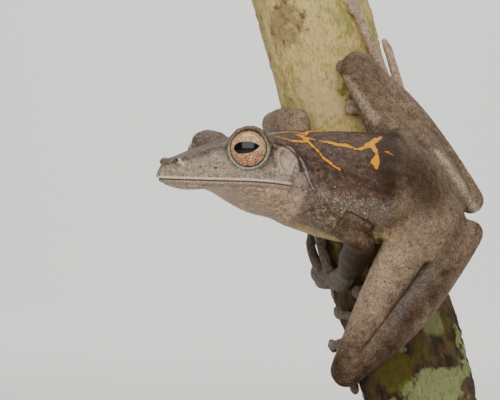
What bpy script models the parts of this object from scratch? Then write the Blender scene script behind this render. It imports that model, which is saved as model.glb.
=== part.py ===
"""A tree frog gripping a cut length of stem, held up by a plain display stand.

Lengths are in millimetres until a mesh is made, and a point is (right, deep, up) as seen
from the frog's left side: its head is to the left, and the stem stands behind its body.
"""

import math

import bmesh
import bpy
import numpy as np
from mathutils import Matrix, Vector

# Driving dimensions, in millimetres
MM = 0.001  # metres in a millimetre
GAP = 0.3  # between neighbouring solids
VIEW_HEIGHT = 57.0  # the pose is measured from a point this far above the floor
VIEW_RIGHT, VIEW_DEEP = -12.0, -17.0  # and this far from the middle of the base

STEM_RADIUS = 9.85
STEM_LEAN = 15.6  # degrees from upright, its top towards the frog's head
STEM_MIDDLE = (19.6, 31.5, 0.0)  # the point of its axis level with the view
STEM_TOP = 39.5  # along the axis from there
STEM_FOOT = -38.5  # height of the level cut at its foot

BASE_SIZE = (72.0, 58.0, 6.0)
ROD_RADIUS = 2.5

HEAD_MIDDLE = (-3.5, 5.1, 3.1)  # between the eyes, at the height of the mouth
HEAD_TURN = 32.0  # degrees, the snout turned towards the viewer
HEAD_ROLL = 2.0
SNOUT_LENGTH = 12.35  # from the middle of the eyes
# The middle of each eye, forward, left and up of the head's middle: the far one is drawn in a little
EYE_PLACES = {1: (0.0, 6.0, 5.0), -1: (0.2, -6.3, 4.3)}
EYE_RADIUS, SOCKET_RADIUS, LID_RADIUS = 2.95, 3.15, 3.65
BROW = (0.3, 0.35)  # how far the upper lid stands above the eye, and behind it
LID_EDGE = 0.75  # how far the lids' rim lies in front of the eye's middle
EYE_AXIS = (0.53, 0.84, 0.06)  # forward, out and up

EAR_DRUM = ((-5.9, 7.75, 3.2), (-0.12, 0.93, 0.36))  # its middle and the way it faces
EAR_DRUM_RADIUS, EAR_DRUM_HEIGHT = 1.65, 1.35  # half its width, and its height for its width
EAR_FOLD = [(-2.4, 6.0, 6.4), (-4.8, 7.0, 5.9), (-7.1, 7.9, 4.6), (-8.4, 8.5, 2.4), (-9.2, 8.8, 0.0)]
MOUTH_RISE = 0.02  # of the line of the lips towards the snout

# Snout to neck: forward of the eyes, half width at the lip, half width and height of the
# crown's edge, height of the crown's middle, depth of the throat below the mouth
HEAD_SECTIONS = [
    (12.40, 0.40, 0.30, 0.95, 1.05, 0.10),
    (12.00, 1.05, 0.65, 1.75, 1.85, -0.02),
    (11.30, 1.95, 1.05, 2.50, 2.60, -0.25),
    (10.00, 3.05, 1.60, 3.10, 3.20, -0.80),
    (7.50, 4.60, 2.30, 3.95, 4.05, -1.35),
    (5.00, 5.90, 2.85, 4.75, 4.80, -1.10),
    (2.50, 6.95, 3.20, 5.45, 5.40, -1.35),
    (0.00, 7.75, 3.60, 6.10, 5.90, -2.30),
    (-3.00, 8.50, 4.80, 6.65, 6.65, -4.20),
    (-6.20, 8.75, 5.80, 6.55, 7.20, -5.40),
]

# Neck to vent: middle, half width, half height, roll of the back towards the viewer
TRUNK_SECTIONS = [
    ((5.8, 10.3, 3.8), 8.1, 7.2, 16.0),
    ((9.3, 11.0, 3.1), 7.9, 7.7, 30.0),
    ((13.2, 11.6, 2.4), 8.2, 8.2, 38.0),
    ((17.1, 12.0, 1.9), 8.4, 8.5, 42.0),
    ((21.0, 12.3, 1.8), 8.3, 8.5, 44.0),
    ((24.2, 12.4, 1.5), 7.6, 8.0, 45.0),
    ((27.4, 12.3, 0.1), 6.2, 6.6, 45.0),
    ((30.6, 12.2, -1.5), 4.6, 4.8, 45.0),
    ((32.6, 12.2, -2.8), 2.6, 2.8, 45.0),
]
TRUNK_SQUARENESS = 2.3  # 2 is an ellipse
HIP_BONE = (2.4, 4.2, 6.4)  # forward, out and up from the trunk's sixth section

# Joints of the limbs
JOINTS = {
    "hip_left": (29.6, 9.6, -2.2),
    "knee_left": (15.1, 6.0, -27.0),
    "heel_left": (35.3, 9.6, -5.2),
    "hip_right": (30.6, 13.6, 0.2),
    "knee_right": (17.3, 17.6, 21.8),
    "heel_right": (36.1, 16.0, -0.3),
    "shoulder_left": (11.7, 6.4, -2.2),
    "elbow_left": (17.7, 5.7, -6.5),
    "wrist_left": (16.2, 18.4, -11.8),
    "shoulder_right": (8.2, 15.4, 6.6),
    "elbow_right": (7.9, 20.4, 13.0),
    "wrist_right": (3.5, 27.5, 12.9),
}

# Half width and half thickness along each limb, from its root to its end
GIRTHS = {
    "upper_arm": [(2.7, 2.4), (1.9, 1.8), (2.0, 1.9)],
    "forearm": [(2.0, 1.9), (2.4, 2.2), (1.7, 1.5)],
    "thigh": [(5.1, 4.1), (4.9, 3.7), (3.8, 3.2), (2.4, 2.3)],
    "shank": [(2.6, 2.4), (3.5, 2.8), (3.1, 2.5), (2.2, 2.0)],
    "tarsus": [(1.7, 1.6), (1.35, 1.2), (1.5, 1.1)],
}

# Limbs that grow out of the trunk: where each parts from it, as a share of its length, and
# the radius of the round cut there
ROOTED = {
    "thigh": {"ends": ("hip", "knee"), "start": {"left": 0.27, "right": 0.5}, "sleeve": 5.5},
    "upper_arm": {"ends": ("shoulder", "elbow"), "start": {"left": 0.4, "right": 0.4}, "sleeve": 2.9},
}
CALF_BOW = {"left": 0.9, "right": 0.6}  # how far the calf swings away from the thigh

# Where the hands and feet grip the stem, for the palm or sole and then for each disc: degrees
# round it from the side that faces the viewer, distance along it, and how far off it, if at all
GRIPS = {
    "hand_left": ((-50.0, -12.0), [(-60.0, -4.6), (-94.0, -4.4), (-135.0, -7.5), (-100.0, -11.2)]),
    "hand_right": ((-92.0, 13.0), [(-140.0, 7.0), (-163.0, 10.5), (-168.0, 15.0), (-138.0, 19.0)]),
    "foot_left": (
        (8.0, -20.5),
        [(-30.0, -14.6), (-62.0, -17.2), (-90.0, -22.6, 1.3), (-128.0, -26.5), (-76.0, -30.0)],
    ),
    "foot_right": (
        (56.0, 9.0),
        [(21.0, 9.5), (10.0, 15.3), (12.0, 22.0), (38.0, 31.2), (80.0, 24.0)],
    ),
}
FINGER_GIRTH, FINGER_DISC = 0.78, 1.35
TOE_GIRTH, TOE_DISC = 0.70, 1.2
WEB_REACH, WEB_THICKNESS = 0.55, 0.6

SKIN_VOXEL, DIGIT_VOXEL = 0.35, 0.24
RELAX = 4
TRIANGLES = {"head": 3000, "torso": 2000, "hand": 720, "foot": 1050, "limb": 340}

COLOURS = {
    "skin": (0.30, 0.25, 0.21, 0.55),
    "eye": (0.55, 0.33, 0.20, 0.15),
    "stem": (0.33, 0.31, 0.16, 0.9),
    "rod": (0.55, 0.56, 0.58, 0.35),
    "base": (0.06, 0.06, 0.065, 0.5),
}


def unit(vector):
    vector = np.asarray(vector, float)
    return vector / np.linalg.norm(vector)


def smooth_path(points, steps):
    """Rows on a Catmull-Rom curve through the given rows, with this many steps a span."""
    rows = np.asarray(points, float)
    rows = np.concatenate([2 * rows[:1] - rows[1:2], rows, 2 * rows[-1:] - rows[-2:-1]])
    made = []
    for a, b, c, d in zip(rows, rows[1:], rows[2:], rows[3:]):
        for t in np.arange(steps) / steps:
            bend = (2 * a - 5 * b + 4 * c - d) * t**2 + (3 * b - a - 3 * c + d) * t**3
            made.append(0.5 * (2 * b + (c - a) * t + bend))
    return np.array([*made, rows[-2]])


def perpendicular(vector, axis):
    """The direction of a vector's part at right angles to an axis."""
    axis = unit(axis)
    return unit(vector - np.dot(vector, axis) * axis)


def directions(path):
    steps = np.gradient(path, axis=0)
    return steps / np.linalg.norm(steps, axis=1)[:, None]


def new_object(name, mesh, collection, material):
    obj = bpy.data.objects.new(name, mesh)
    collection.objects.link(obj)
    mesh.materials.clear()
    mesh.materials.append(material)
    return obj


def material_of(slot):
    material = bpy.data.materials.get(slot)
    if material is None:
        material = bpy.data.materials.new(slot)
        material.use_nodes = True
        shader = material.node_tree.nodes["Principled BSDF"]
        shader.inputs["Base Color"].default_value = (*COLOURS[slot][:3], 1.0)
        shader.inputs["Roughness"].default_value = COLOURS[slot][3]
        shader.inputs["Metallic"].default_value = 0.9 if slot == "rod" else 0.0
    return material


def in_world(points):
    """Metres on the display stand from millimetres seen from the frog's side."""
    return (np.asarray(points, float) + (VIEW_RIGHT, VIEW_DEEP, VIEW_HEIGHT)) * MM


def loft(name, rings, start, end, slot="skin"):
    """A closed skin over rings of points, run together to a point at each end."""
    count, sides = rings.shape[:2]
    points = [*rings.reshape(-1, 3), start, end]
    faces = []
    for ring in range(count - 1):
        for side in range(sides):
            following = (side + 1) % sides
            low, high = ring * sides, (ring + 1) * sides
            faces.append((low + side, low + following, high + following, high + side))
    last = (count - 1) * sides
    for side in range(sides):
        following = (side + 1) % sides
        faces.append((following, side, count * sides))
        faces.append((last + side, last + following, count * sides + 1))
    mesh = bpy.data.meshes.new(name)
    mesh.from_pydata([tuple(p) for p in in_world(points)], [], faces)
    body = bmesh.new()
    body.from_mesh(mesh)
    bmesh.ops.recalc_face_normals(body, faces=body.faces)
    body.to_mesh(mesh)
    body.free()
    return new_object(name, mesh, WORK, material_of(slot))


def limb(name, spine, girths, flat=(0, -1, 0), sides=14, steps=5):
    """A limb of oval section along a smooth path, with a dome past each end of it."""
    path = smooth_path(spine, steps)
    sizes = smooth_path(girths, (len(path) - 1) // (len(girths) - 1))
    sizes = np.stack(
        [np.interp(np.linspace(0, 1, len(path)), np.linspace(0, 1, len(sizes)), s) for s in sizes.T],
        axis=1,
    )
    along = directions(path)
    rings = []
    domes = [math.radians(a) for a in (68, 45, 22)]
    turns = np.linspace(0, 2 * math.pi, sides, endpoint=False)
    stations = [
        (path[0] - along[0] * sizes[0].min() * math.sin(a), along[0], sizes[0] * math.cos(a)) for a in domes
    ]
    stations += list(zip(path, along, sizes))
    stations += [
        (path[-1] + along[-1] * sizes[-1].min() * math.sin(a), along[-1], sizes[-1] * math.cos(a))
        for a in reversed(domes)
    ]
    for middle, forward, (wide, thick) in stations:
        across = unit(np.cross(forward, flat))
        out = np.cross(across, forward)
        rings.append(
            middle + wide * np.cos(turns)[:, None] * across + thick * np.sin(turns)[:, None] * out
        )
    start = path[0] - along[0] * sizes[0].min()
    end = path[-1] + along[-1] * sizes[-1].min()
    return loft(name, np.array(rings), start, end)


def ball(name, middle, radii, axes=None, segments=20, rings=12, slot="skin"):
    """An ellipsoid with its three radii along three axes."""
    bpy.ops.mesh.primitive_uv_sphere_add(segments=segments, ring_count=rings, radius=1.0)
    obj = bpy.context.object
    frame = np.identity(3) if axes is None else np.array(axes).T
    turned = Matrix((frame * np.asarray(radii) * MM).tolist()).to_4x4()
    obj.data.transform(Matrix.Translation(Vector(in_world(middle))) @ turned)
    return adopted(obj, name, slot)


def adopted(obj, name, slot="skin"):
    """Names a primitive and moves it from the scene into the working collection."""
    for collection in list(obj.users_collection):
        collection.objects.unlink(obj)
    WORK.objects.link(obj)
    obj.name = name
    obj.data.materials.clear()
    obj.data.materials.append(material_of(slot))
    return obj


def tube(name, points, radius, flat=(0, 0, 1)):
    """A tube of one radius along a path, with domed ends."""
    return limb(name, points, [(radius, radius), (radius, radius)], flat, sides=8, steps=1)


def finished(obj):
    """Applies an object's modifiers."""
    bpy.context.view_layer.update()
    graph = bpy.context.evaluated_depsgraph_get()
    mesh = bpy.data.meshes.new_from_object(obj.evaluated_get(graph))
    obj.modifiers.clear()
    obj.data = mesh
    return obj


def joined(name, pieces):
    """One mesh that holds all the pieces, which are removed."""
    body = bmesh.new()
    material = pieces[0].data.materials[0]
    for piece in pieces:
        body.from_mesh(piece.data)
        bpy.data.objects.remove(piece)
    mesh = bpy.data.meshes.new(name)
    body.to_mesh(mesh)
    body.free()
    return new_object(name, mesh, WORK, material)


def triangle_count(obj):
    return sum(len(face.vertices) - 2 for face in obj.data.polygons)


def thinned(obj, triangles):
    """Decimates a mesh to about this many triangles."""
    ratio = triangles / triangle_count(obj)
    if ratio < 1:
        modifier = obj.modifiers.new("thin", "DECIMATE")
        modifier.ratio = ratio
        modifier.use_collapse_triangulate = True
        finished(obj)
    return obj


def fused(name, pieces, voxel, relax=RELAX):
    """The pieces grown together into one smooth skin."""
    whole = joined(name, pieces)
    remesh = whole.modifiers.new("skin", "REMESH")
    remesh.mode = "VOXEL"
    remesh.voxel_size = voxel * MM
    smooth = whole.modifiers.new("relax", "SMOOTH")
    smooth.iterations = relax
    return finished(whole)


def largest_body(obj):
    """Keeps only the largest of a mesh's separate surfaces."""
    body = bmesh.new()
    body.from_mesh(obj.data)
    left, groups = set(body.verts), []
    while left:
        group, edge = set(), [left.pop()]
        while edge:
            vertex = edge.pop()
            group.add(vertex)
            for link in vertex.link_edges:
                other = link.other_vert(vertex)
                if other in left:
                    left.remove(other)
                    edge.append(other)
        groups.append(group)
    groups.sort(key=len)
    for group in groups[:-1]:
        bmesh.ops.delete(body, geom=list(group), context="VERTS")
    body.to_mesh(obj.data)
    body.free()
    return obj


def combined(obj, other, operation, keep=False):
    """A Boolean of two closed meshes, applied. The other one is removed."""
    modifier = obj.modifiers.new("join", "BOOLEAN")
    modifier.operation = operation
    modifier.solver = "EXACT"
    modifier.object = other
    finished(obj)
    if not keep:
        bpy.data.objects.remove(other)
    return largest_body(obj)


def grown(obj, distance=GAP):
    """A copy with its surface moved outwards."""
    copy = new_object(obj.name + "_grown", obj.data.copy(), WORK, obj.data.materials[0])
    body = bmesh.new()
    body.from_mesh(copy.data)
    body.normal_update()
    moves = [(vertex, vertex.normal * distance * MM) for vertex in body.verts]
    for vertex, move in moves:
        vertex.co += move
    body.to_mesh(copy.data)
    body.free()
    return copy


def side_of(obj, point, normal, name=None, keep=False):
    """The part of a closed mesh on one side of a plane, half a gap clear of it."""
    normal = Vector(unit(normal))
    place = Vector(in_world(point)) + normal * (GAP / 2) * MM
    body = bmesh.new()
    body.from_mesh(obj.data)
    everything = [*body.verts, *body.edges, *body.faces]
    cut = bmesh.ops.bisect_plane(
        body, geom=everything, plane_co=place, plane_no=normal, clear_inner=True, dist=1e-7
    )
    rim = [e for e in cut["geom_cut"] if isinstance(e, bmesh.types.BMEdge)]
    bmesh.ops.holes_fill(body, edges=rim, sides=0)
    bmesh.ops.triangulate(body, faces=[f for f in body.faces if len(f.verts) > 4])
    mesh = bpy.data.meshes.new(name or obj.name)
    body.to_mesh(mesh)
    body.free()
    part = new_object(name or obj.name, mesh, WORK, obj.data.materials[0])
    if not keep:
        bpy.data.objects.remove(obj)
    return largest_body(part)


def boxes_meet(first, second):
    """Whether the boxes round two meshes come within a gap of each other."""
    a, b = (np.array([vertex.co for vertex in obj.data.vertices]) for obj in (first, second))
    reach = 1.5 * GAP * MM
    first_below = np.all(a.min(axis=0) < b.max(axis=0) + reach)
    return bool(first_below and np.all(b.min(axis=0) < a.max(axis=0) + reach))


def cleared(obj, others):
    """Cuts a solid back to a gap's width from each of the others."""
    for other in others:
        if boxes_meet(obj, other):
            combined(obj, grown(other), "DIFFERENCE")
    return obj


def node(obj, name):
    """Puts a finished solid among the model's named parts."""
    for collection in list(obj.users_collection):
        collection.objects.unlink(obj)
    FROG.objects.link(obj)
    obj.name = name
    obj.data.name = name
    obj.data.shade_smooth()
    return obj


# The stem and the stand


def stem_axes():
    lean = math.radians(STEM_LEAN)
    along = np.array([-math.sin(lean), 0.0, math.cos(lean)])
    across = np.array([math.cos(lean), 0.0, math.sin(lean)])
    return along, across


def on_stem(angle, height, lift=0.0):
    """A point on the stem: degrees round from the viewer's side, along it, and off it."""
    along, across = stem_axes()
    turn = np.radians(angle)
    out = math.sin(turn) * across + math.cos(turn) * np.array([0.0, -1.0, 0.0])
    return np.array(STEM_MIDDLE) + height * along + (STEM_RADIUS + lift) * out


def bark_swell(angle, height):
    """How far the bark stands out from the stem's plain radius."""
    ripple = 0.16 * math.sin(3 * angle + 0.11 * height) + 0.12 * math.sin(5 * angle - 0.23 * height + 1.0)
    knot = 1.1 * math.exp(-(((angle - 2.3) / 0.32) ** 2) - ((height - 27.0) / 3.4) ** 2)
    scar = 0.9 * math.exp(-(((angle - 0.7) / 0.25) ** 2) - ((height + 31.0) / 2.6) ** 2)
    return ripple + knot + scar


def make_stem():
    """A leaning length of stem with rippled bark, a knot and two cut ends."""
    rows, sides = 19, 28
    rings = []
    for height in np.linspace(STEM_FOOT / math.cos(math.radians(STEM_LEAN)) - 4.0, STEM_TOP, rows):
        turns = np.linspace(-math.pi, math.pi, sides, endpoint=False)
        rings.append([on_stem(math.degrees(t), height, bark_swell(t, height)) for t in turns])
    rings = np.array(rings)
    stem = loft("stem", rings, rings[0].mean(axis=0), rings[-1].mean(axis=0), "stem")
    middle = (STEM_MIDDLE[0], STEM_MIDDLE[1], STEM_FOOT - GAP / 2)
    return side_of(stem, middle, (0, 0, 1))


def make_stand():
    """A flat base with a short rod up to the foot of the stem."""
    width, depth, height = (side * MM for side in BASE_SIZE)
    bpy.ops.mesh.primitive_cube_add(size=1.0, location=(0, 0, height / 2))
    base = adopted(bpy.context.object, "stand_base", "base")
    base.data.transform(Matrix.Diagonal((width, depth, height, 1.0)))
    corners = base.modifiers.new("corners", "BEVEL")
    corners.width, corners.segments = 0.0012, 3
    base.location = (0, 0, height / 2)
    node(finished(base), "stand_base")
    shift = STEM_FOOT * math.tan(math.radians(STEM_LEAN))
    foot = in_world((STEM_MIDDLE[0] - shift, STEM_MIDDLE[1], STEM_FOOT))
    low, high = height + GAP * MM, foot[2] - GAP * MM
    bpy.ops.mesh.primitive_cylinder_add(
        vertices=32, radius=ROD_RADIUS * MM, depth=high - low, location=(foot[0], foot[1], (low + high) / 2)
    )
    node(adopted(bpy.context.object, "stand_rod", "rod"), "stand_rod")


# The head and trunk


def head_axes():
    """Forward, left and up of the head."""
    turn, roll = math.radians(HEAD_TURN), math.radians(HEAD_ROLL)
    forward = np.array([-math.cos(turn), -math.sin(turn), 0.0])
    left = np.array([math.sin(turn), -math.cos(turn), 0.0])
    up = np.array([0.0, 0.0, 1.0])
    return forward, math.cos(roll) * left - math.sin(roll) * up, math.cos(roll) * up + math.sin(roll) * left


def in_head(forward, left, up):
    """A point from its distances along the head's axes."""
    return np.array(HEAD_MIDDLE) + np.array([forward, left, up]) @ np.array(head_axes())


def head_ring(forward, lip, crown, edge, middle, throat):
    """The outline of the head across one station, round from the crown by its left side."""
    jaw = min(1.0, max(0.0, 0.1 - throat))  # the lower lip fades out under the tip of the snout
    chin = throat + 0.55 * jaw
    half = [
        (0.0, middle),
        (0.55 * crown, 0.35 * edge + 0.65 * middle),
        (crown, edge),
        (crown + 0.33 * (lip - crown), 0.45 + 0.66 * (edge - 0.45)),
        (crown + 0.70 * (lip - crown), 0.45 + 0.31 * (edge - 0.45)),
        (lip, 0.45),
        (lip - min(0.25, 0.3 * lip), -0.05),
        (lip - min(0.35, 0.4 * lip), -0.5 * jaw),
        (0.80 * lip, -0.55 * jaw + 0.50 * chin),
        (0.44 * lip, -0.55 * jaw + 0.90 * chin),
        (0.0, throat),
    ]
    whole = half + [(-side, up) for side, up in reversed(half[1:-1])]
    return np.array([in_head(forward, side, up) for side, up in whole])


def trunk_ring(middle, forward, width, height, roll, sides=20):
    """A rounded, rolled section of the trunk, round from the back by its left side."""
    upright = np.array([0.0, 0.0, 1.0])
    up = unit(upright - upright.dot(forward) * forward)
    left = np.cross(up, forward)
    turn = math.radians(roll)
    up, left = math.cos(turn) * up + math.sin(turn) * left, math.cos(turn) * left - math.sin(turn) * up
    angles = np.linspace(0, 2 * math.pi, sides, endpoint=False)
    power = 2 / TRUNK_SQUARENESS
    side = np.sign(np.sin(angles)) * np.abs(np.sin(angles)) ** power * width
    rise = np.sign(np.cos(angles)) * np.abs(np.cos(angles)) ** power * height
    return np.array(middle) + side[:, None] * left + rise[:, None] * up


def trunk_frame(station):
    """Middle, forward, left and up at a station of the trunk."""
    middles = np.array([section[0] for section in TRUNK_SECTIONS])
    forward = -directions(middles)[station]
    upright = np.array([0.0, 0.0, 1.0])
    up = unit(upright - upright.dot(forward) * forward)
    left = np.cross(up, forward)
    turn = math.radians(TRUNK_SECTIONS[station][3])
    return (
        middles[station],
        forward,
        math.cos(turn) * left - math.sin(turn) * up,
        math.cos(turn) * up + math.sin(turn) * left,
    )


def body_loft():
    """Head and trunk in one skin, from the snout to the vent."""
    rings = [head_ring(*section) for section in HEAD_SECTIONS]
    for station, (middle, width, height, roll) in enumerate(TRUNK_SECTIONS):
        forward = trunk_frame(station)[1]
        rings.append(trunk_ring(middle, forward, width, height, roll))
    rings = smooth_path(np.array(rings), 4)
    rings = np.array([smooth_path([*ring[-1:], *ring, *ring[:2]], 2)[2:-3] for ring in rings])
    start = in_head(SNOUT_LENGTH + 0.15, 0.0, 0.35)
    end = np.array(TRUNK_SECTIONS[-1][0]) - 2.2 * trunk_frame(-1)[1]
    return loft("body", rings, start, end)


def eye_axis(side):
    forward, left, up = head_axes()
    ahead, out, rise = EYE_AXIS
    return unit(ahead * forward + side * out * left + rise * up)


def mouth_path(out, up):
    """The line of the lips round the snout, a little outside or above the mouth."""
    stations = [section for section in HEAD_SECTIONS if -6.5 < section[0] < 11.9]
    left = [(ahead, max(lip + out, 0.2), up + MOUTH_RISE * ahead) for ahead, lip, *_ in reversed(stations)]
    right = [(ahead, -side, rise) for ahead, side, rise in reversed(left)]
    tip = (SNOUT_LENGTH + 0.25 + out, 0.0, up + MOUTH_RISE * SNOUT_LENGTH)
    return smooth_path([in_head(*point) for point in [*left, tip, *right]], 4)


def body_swellings():
    """Lids, lip, folds, hip bones and the muscle at the roots of the limbs."""
    made = [tube("lip", mouth_path(-0.22, 0.42), 0.34)]
    for side, hand in ((1, "left"), (-1, "right")):
        eye = in_head(*EYE_PLACES[side])
        brow = eye + BROW[0] * head_axes()[2] - BROW[1] * head_axes()[0]
        made.append(ball("lid", eye, [LID_RADIUS] * 3, segments=28, rings=18))
        made.append(ball("brow", brow, [LID_RADIUS - 0.15] * 3, segments=28, rings=18))
        made.append(ball("nostril", in_head(10.3, side * 1.95, 2.75), [0.85, 0.6, 0.6], head_axes()))
        fold = smooth_path([in_head(ahead, side * out, rise) for ahead, out, rise in EAR_FOLD], 5)
        made.append(limb("ear_fold", fold, [(0.45, 0.45), (0.75, 0.75), (0.6, 0.6)], steps=1))
        middle, forward, left, up = trunk_frame(5)
        hump = middle + side * HIP_BONE[1] * left + HIP_BONE[2] * up + HIP_BONE[0] * forward
        made.append(ball("hip_bone", hump, [3.2, 1.8, 1.7], [forward, left, up]))
        for name in ROOTED:
            root, end = rooted_ends(name, hand)
            made.append(limb(name, [root, (root + end) / 2, end], GIRTHS[name]))
    return made


def carve_head(head):
    """Cuts the eye sockets, the mouth, the nostrils and the rims of the ear drums."""
    for side in (1, -1):
        eye, axis = in_head(*EYE_PLACES[side]), eye_axis(side)
        bpy.ops.mesh.primitive_cone_add(
            vertices=28, radius1=SOCKET_RADIUS * 0.94 * MM, radius2=4.6 * MM, depth=4.0 * MM
        )
        opening = adopted(bpy.context.object, "opening")
        middle = Vector(in_world(eye + axis * (LID_EDGE + 2.0)))
        opening.data.transform(Vector(axis).to_track_quat("Z", "Y").to_matrix().to_4x4())
        opening.data.transform(Matrix.Translation(middle))
        combined(head, opening, "DIFFERENCE")
        combined(head, ball("socket", eye, [SOCKET_RADIUS] * 3, segments=24, rings=14), "DIFFERENCE")
        pit = ball("nostril_pit", in_head(10.45, side * 2.5, 3.0), [0.28] * 3, segments=10, rings=6)
        combined(head, pit, "DIFFERENCE")
        combined(head, drum_ring(side), "UNION")
    combined(head, tube("mouth", mouth_path(0.08, -0.02), 0.27), "DIFFERENCE")
    return head


def drum_ring(side):
    """The raised rim of an ear drum, lying on the cheek behind the eye."""
    middle, facing = EAR_DRUM
    forward, left, up = head_axes()
    out = unit(facing[0] * forward + side * facing[1] * left + facing[2] * up)
    bpy.ops.mesh.primitive_torus_add(
        major_radius=EAR_DRUM_RADIUS * MM, minor_radius=0.28 * MM, major_segments=20, minor_segments=6
    )
    ring = adopted(bpy.context.object, "drum")
    ring.data.transform(Vector(out).to_track_quat("Z", "Y").to_matrix().to_4x4())
    ring.data.transform(Matrix.Scale(EAR_DRUM_HEIGHT, 4, Vector(up)))
    place = in_head(middle[0], side * middle[1], middle[2])
    ring.data.transform(Matrix.Translation(Vector(in_world(place))))
    return ring


def make_eyes():
    for side, hand in ((1, "left"), (-1, "right")):
        eye = in_head(*EYE_PLACES[side])
        node(ball("eye", eye, [EYE_RADIUS] * 3, segments=18, rings=12, slot="eye"), "eye_" + hand)


def rooted_ends(name, hand):
    """Both ends of a thigh or an upper arm."""
    ends = ROOTED[name]["ends"]
    return (np.array(JOINTS[f"{end}_{hand}"]) for end in ends)


def sleeve(name, hand, clearance):
    """A cylinder round a limb, from where it parts from the trunk to past its end."""
    root, end = rooted_ends(name, hand)
    along, length = unit(end - root), np.linalg.norm(end - root)
    start = ROOTED[name]["start"][hand] * length - clearance
    reach = length + 5.0 - start
    radius = (ROOTED[name]["sleeve"] + clearance) * MM
    bpy.ops.mesh.primitive_cylinder_add(vertices=40, radius=radius, depth=reach * MM)
    cutter = adopted(bpy.context.object, "sleeve")
    cutter.data.transform(Vector(along).to_track_quat("Z", "Y").to_matrix().to_4x4())
    cutter.data.transform(Matrix.Translation(Vector(in_world(root + along * (start + reach / 2)))))
    return cutter


def make_body():
    """The head, torso, thighs and upper arms, modelled whole and then parted."""
    whole = fused("whole", [body_loft(), *body_swellings()], SKIN_VOXEL)
    rooted = {}
    for name in ROOTED:
        for hand in ("left", "right"):
            part = new_object(name, whole.data.copy(), WORK, whole.data.materials[0])
            rooted[name, hand] = combined(part, sleeve(name, hand, 0.0), "INTERSECT")
            combined(whole, sleeve(name, hand, GAP), "DIFFERENCE")
    neck, forward = in_head(-10.4, 0.0, 1.0), head_axes()[0]
    head = thinned(side_of(whole, neck, forward, "head", keep=True), TRIANGLES["head"])
    torso = thinned(side_of(whole, neck, -forward, "torso"), TRIANGLES["torso"])
    carve_head(head)
    node(head, "head")
    node(torso, "torso")
    return rooted


# The limbs


def bisector(joint, first, second):
    """A plane's normal at a bend, pointing to the first of the two parts that meet there."""
    return unit(unit(np.subtract(first, joint)) - unit(np.subtract(second, joint)))


def digit_path(base, tip, girth, steps=9):
    """A finger or toe lying along the stem, from the palm or sole to its disc."""
    share = np.linspace(0, 1, steps)
    angles = base[0] + (tip[0] - base[0]) * share
    heights = base[1] + (tip[1] - base[1]) * share
    lifts = 0.55 + girth - 0.25 * share + 0.75 * np.sin(math.pi * share) * (1 - share) + tip[2] * share
    return np.array([on_stem(*place) for place in zip(angles, heights, lifts)])


def web(name, base, first, second):
    """The skin between two toes, lying along the stem."""
    rows, across = 8, 5
    rings = []
    for reach in np.linspace(0.03, WEB_REACH, rows):
        line = []
        for share in np.linspace(0, 1, across):
            held = reach * (1 - 0.3 * math.sin(math.pi * share))
            tip = np.array(first) * (1 - share) + np.array(second) * share
            line.append(np.array(base) * (1 - held) + tip * held)
        top = [on_stem(a, h, 0.85 + WEB_THICKNESS / 2) for a, h in line]
        low = [on_stem(a, h, 0.85 - WEB_THICKNESS / 2) for a, h in reversed(line)]
        rings.append([*top, *low])
    rings = np.array(rings)
    return loft(name, rings, rings[0].mean(axis=0), rings[-1].mean(axis=0))


def paw(name, root, discs, girth):
    """A hand or foot from its wrist or ankle: digits with discs, gripping the stem."""
    base, tips = GRIPS[name]
    hub = on_stem(*base, 1.35)
    pieces = [limb("palm", [root, (np.array(root) + hub) / 2, hub], [(1.5, 1.3), (1.8, 1.3), (2.1, 1.2)])]
    tips = [(*tip, 0.0)[:3] for tip in tips]
    for tip in tips:
        path = digit_path(base, tip, girth)
        girths = [(1.15 * girth, girth), (girth, girth), (0.85 * girth, 0.8 * girth)]
        pieces.append(limb("digit", path, girths, steps=2))
        angle, height, off = tip
        out = unit(on_stem(angle, height, 1.0) - on_stem(angle, height))
        ahead = unit(path[-1] - path[-2])
        pad = on_stem(angle, height, off + 0.72) + 0.4 * ahead
        pieces.append(ball("disc", pad, [discs * 1.05, discs, 0.6], [ahead, np.cross(out, ahead), out]))
    if name.startswith("foot"):
        for first, second in zip(tips, tips[1:]):
            pieces.append(web("web", base, first[:2], second[:2]))
    return fused(name, pieces, DIGIT_VOXEL, 3)


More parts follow.
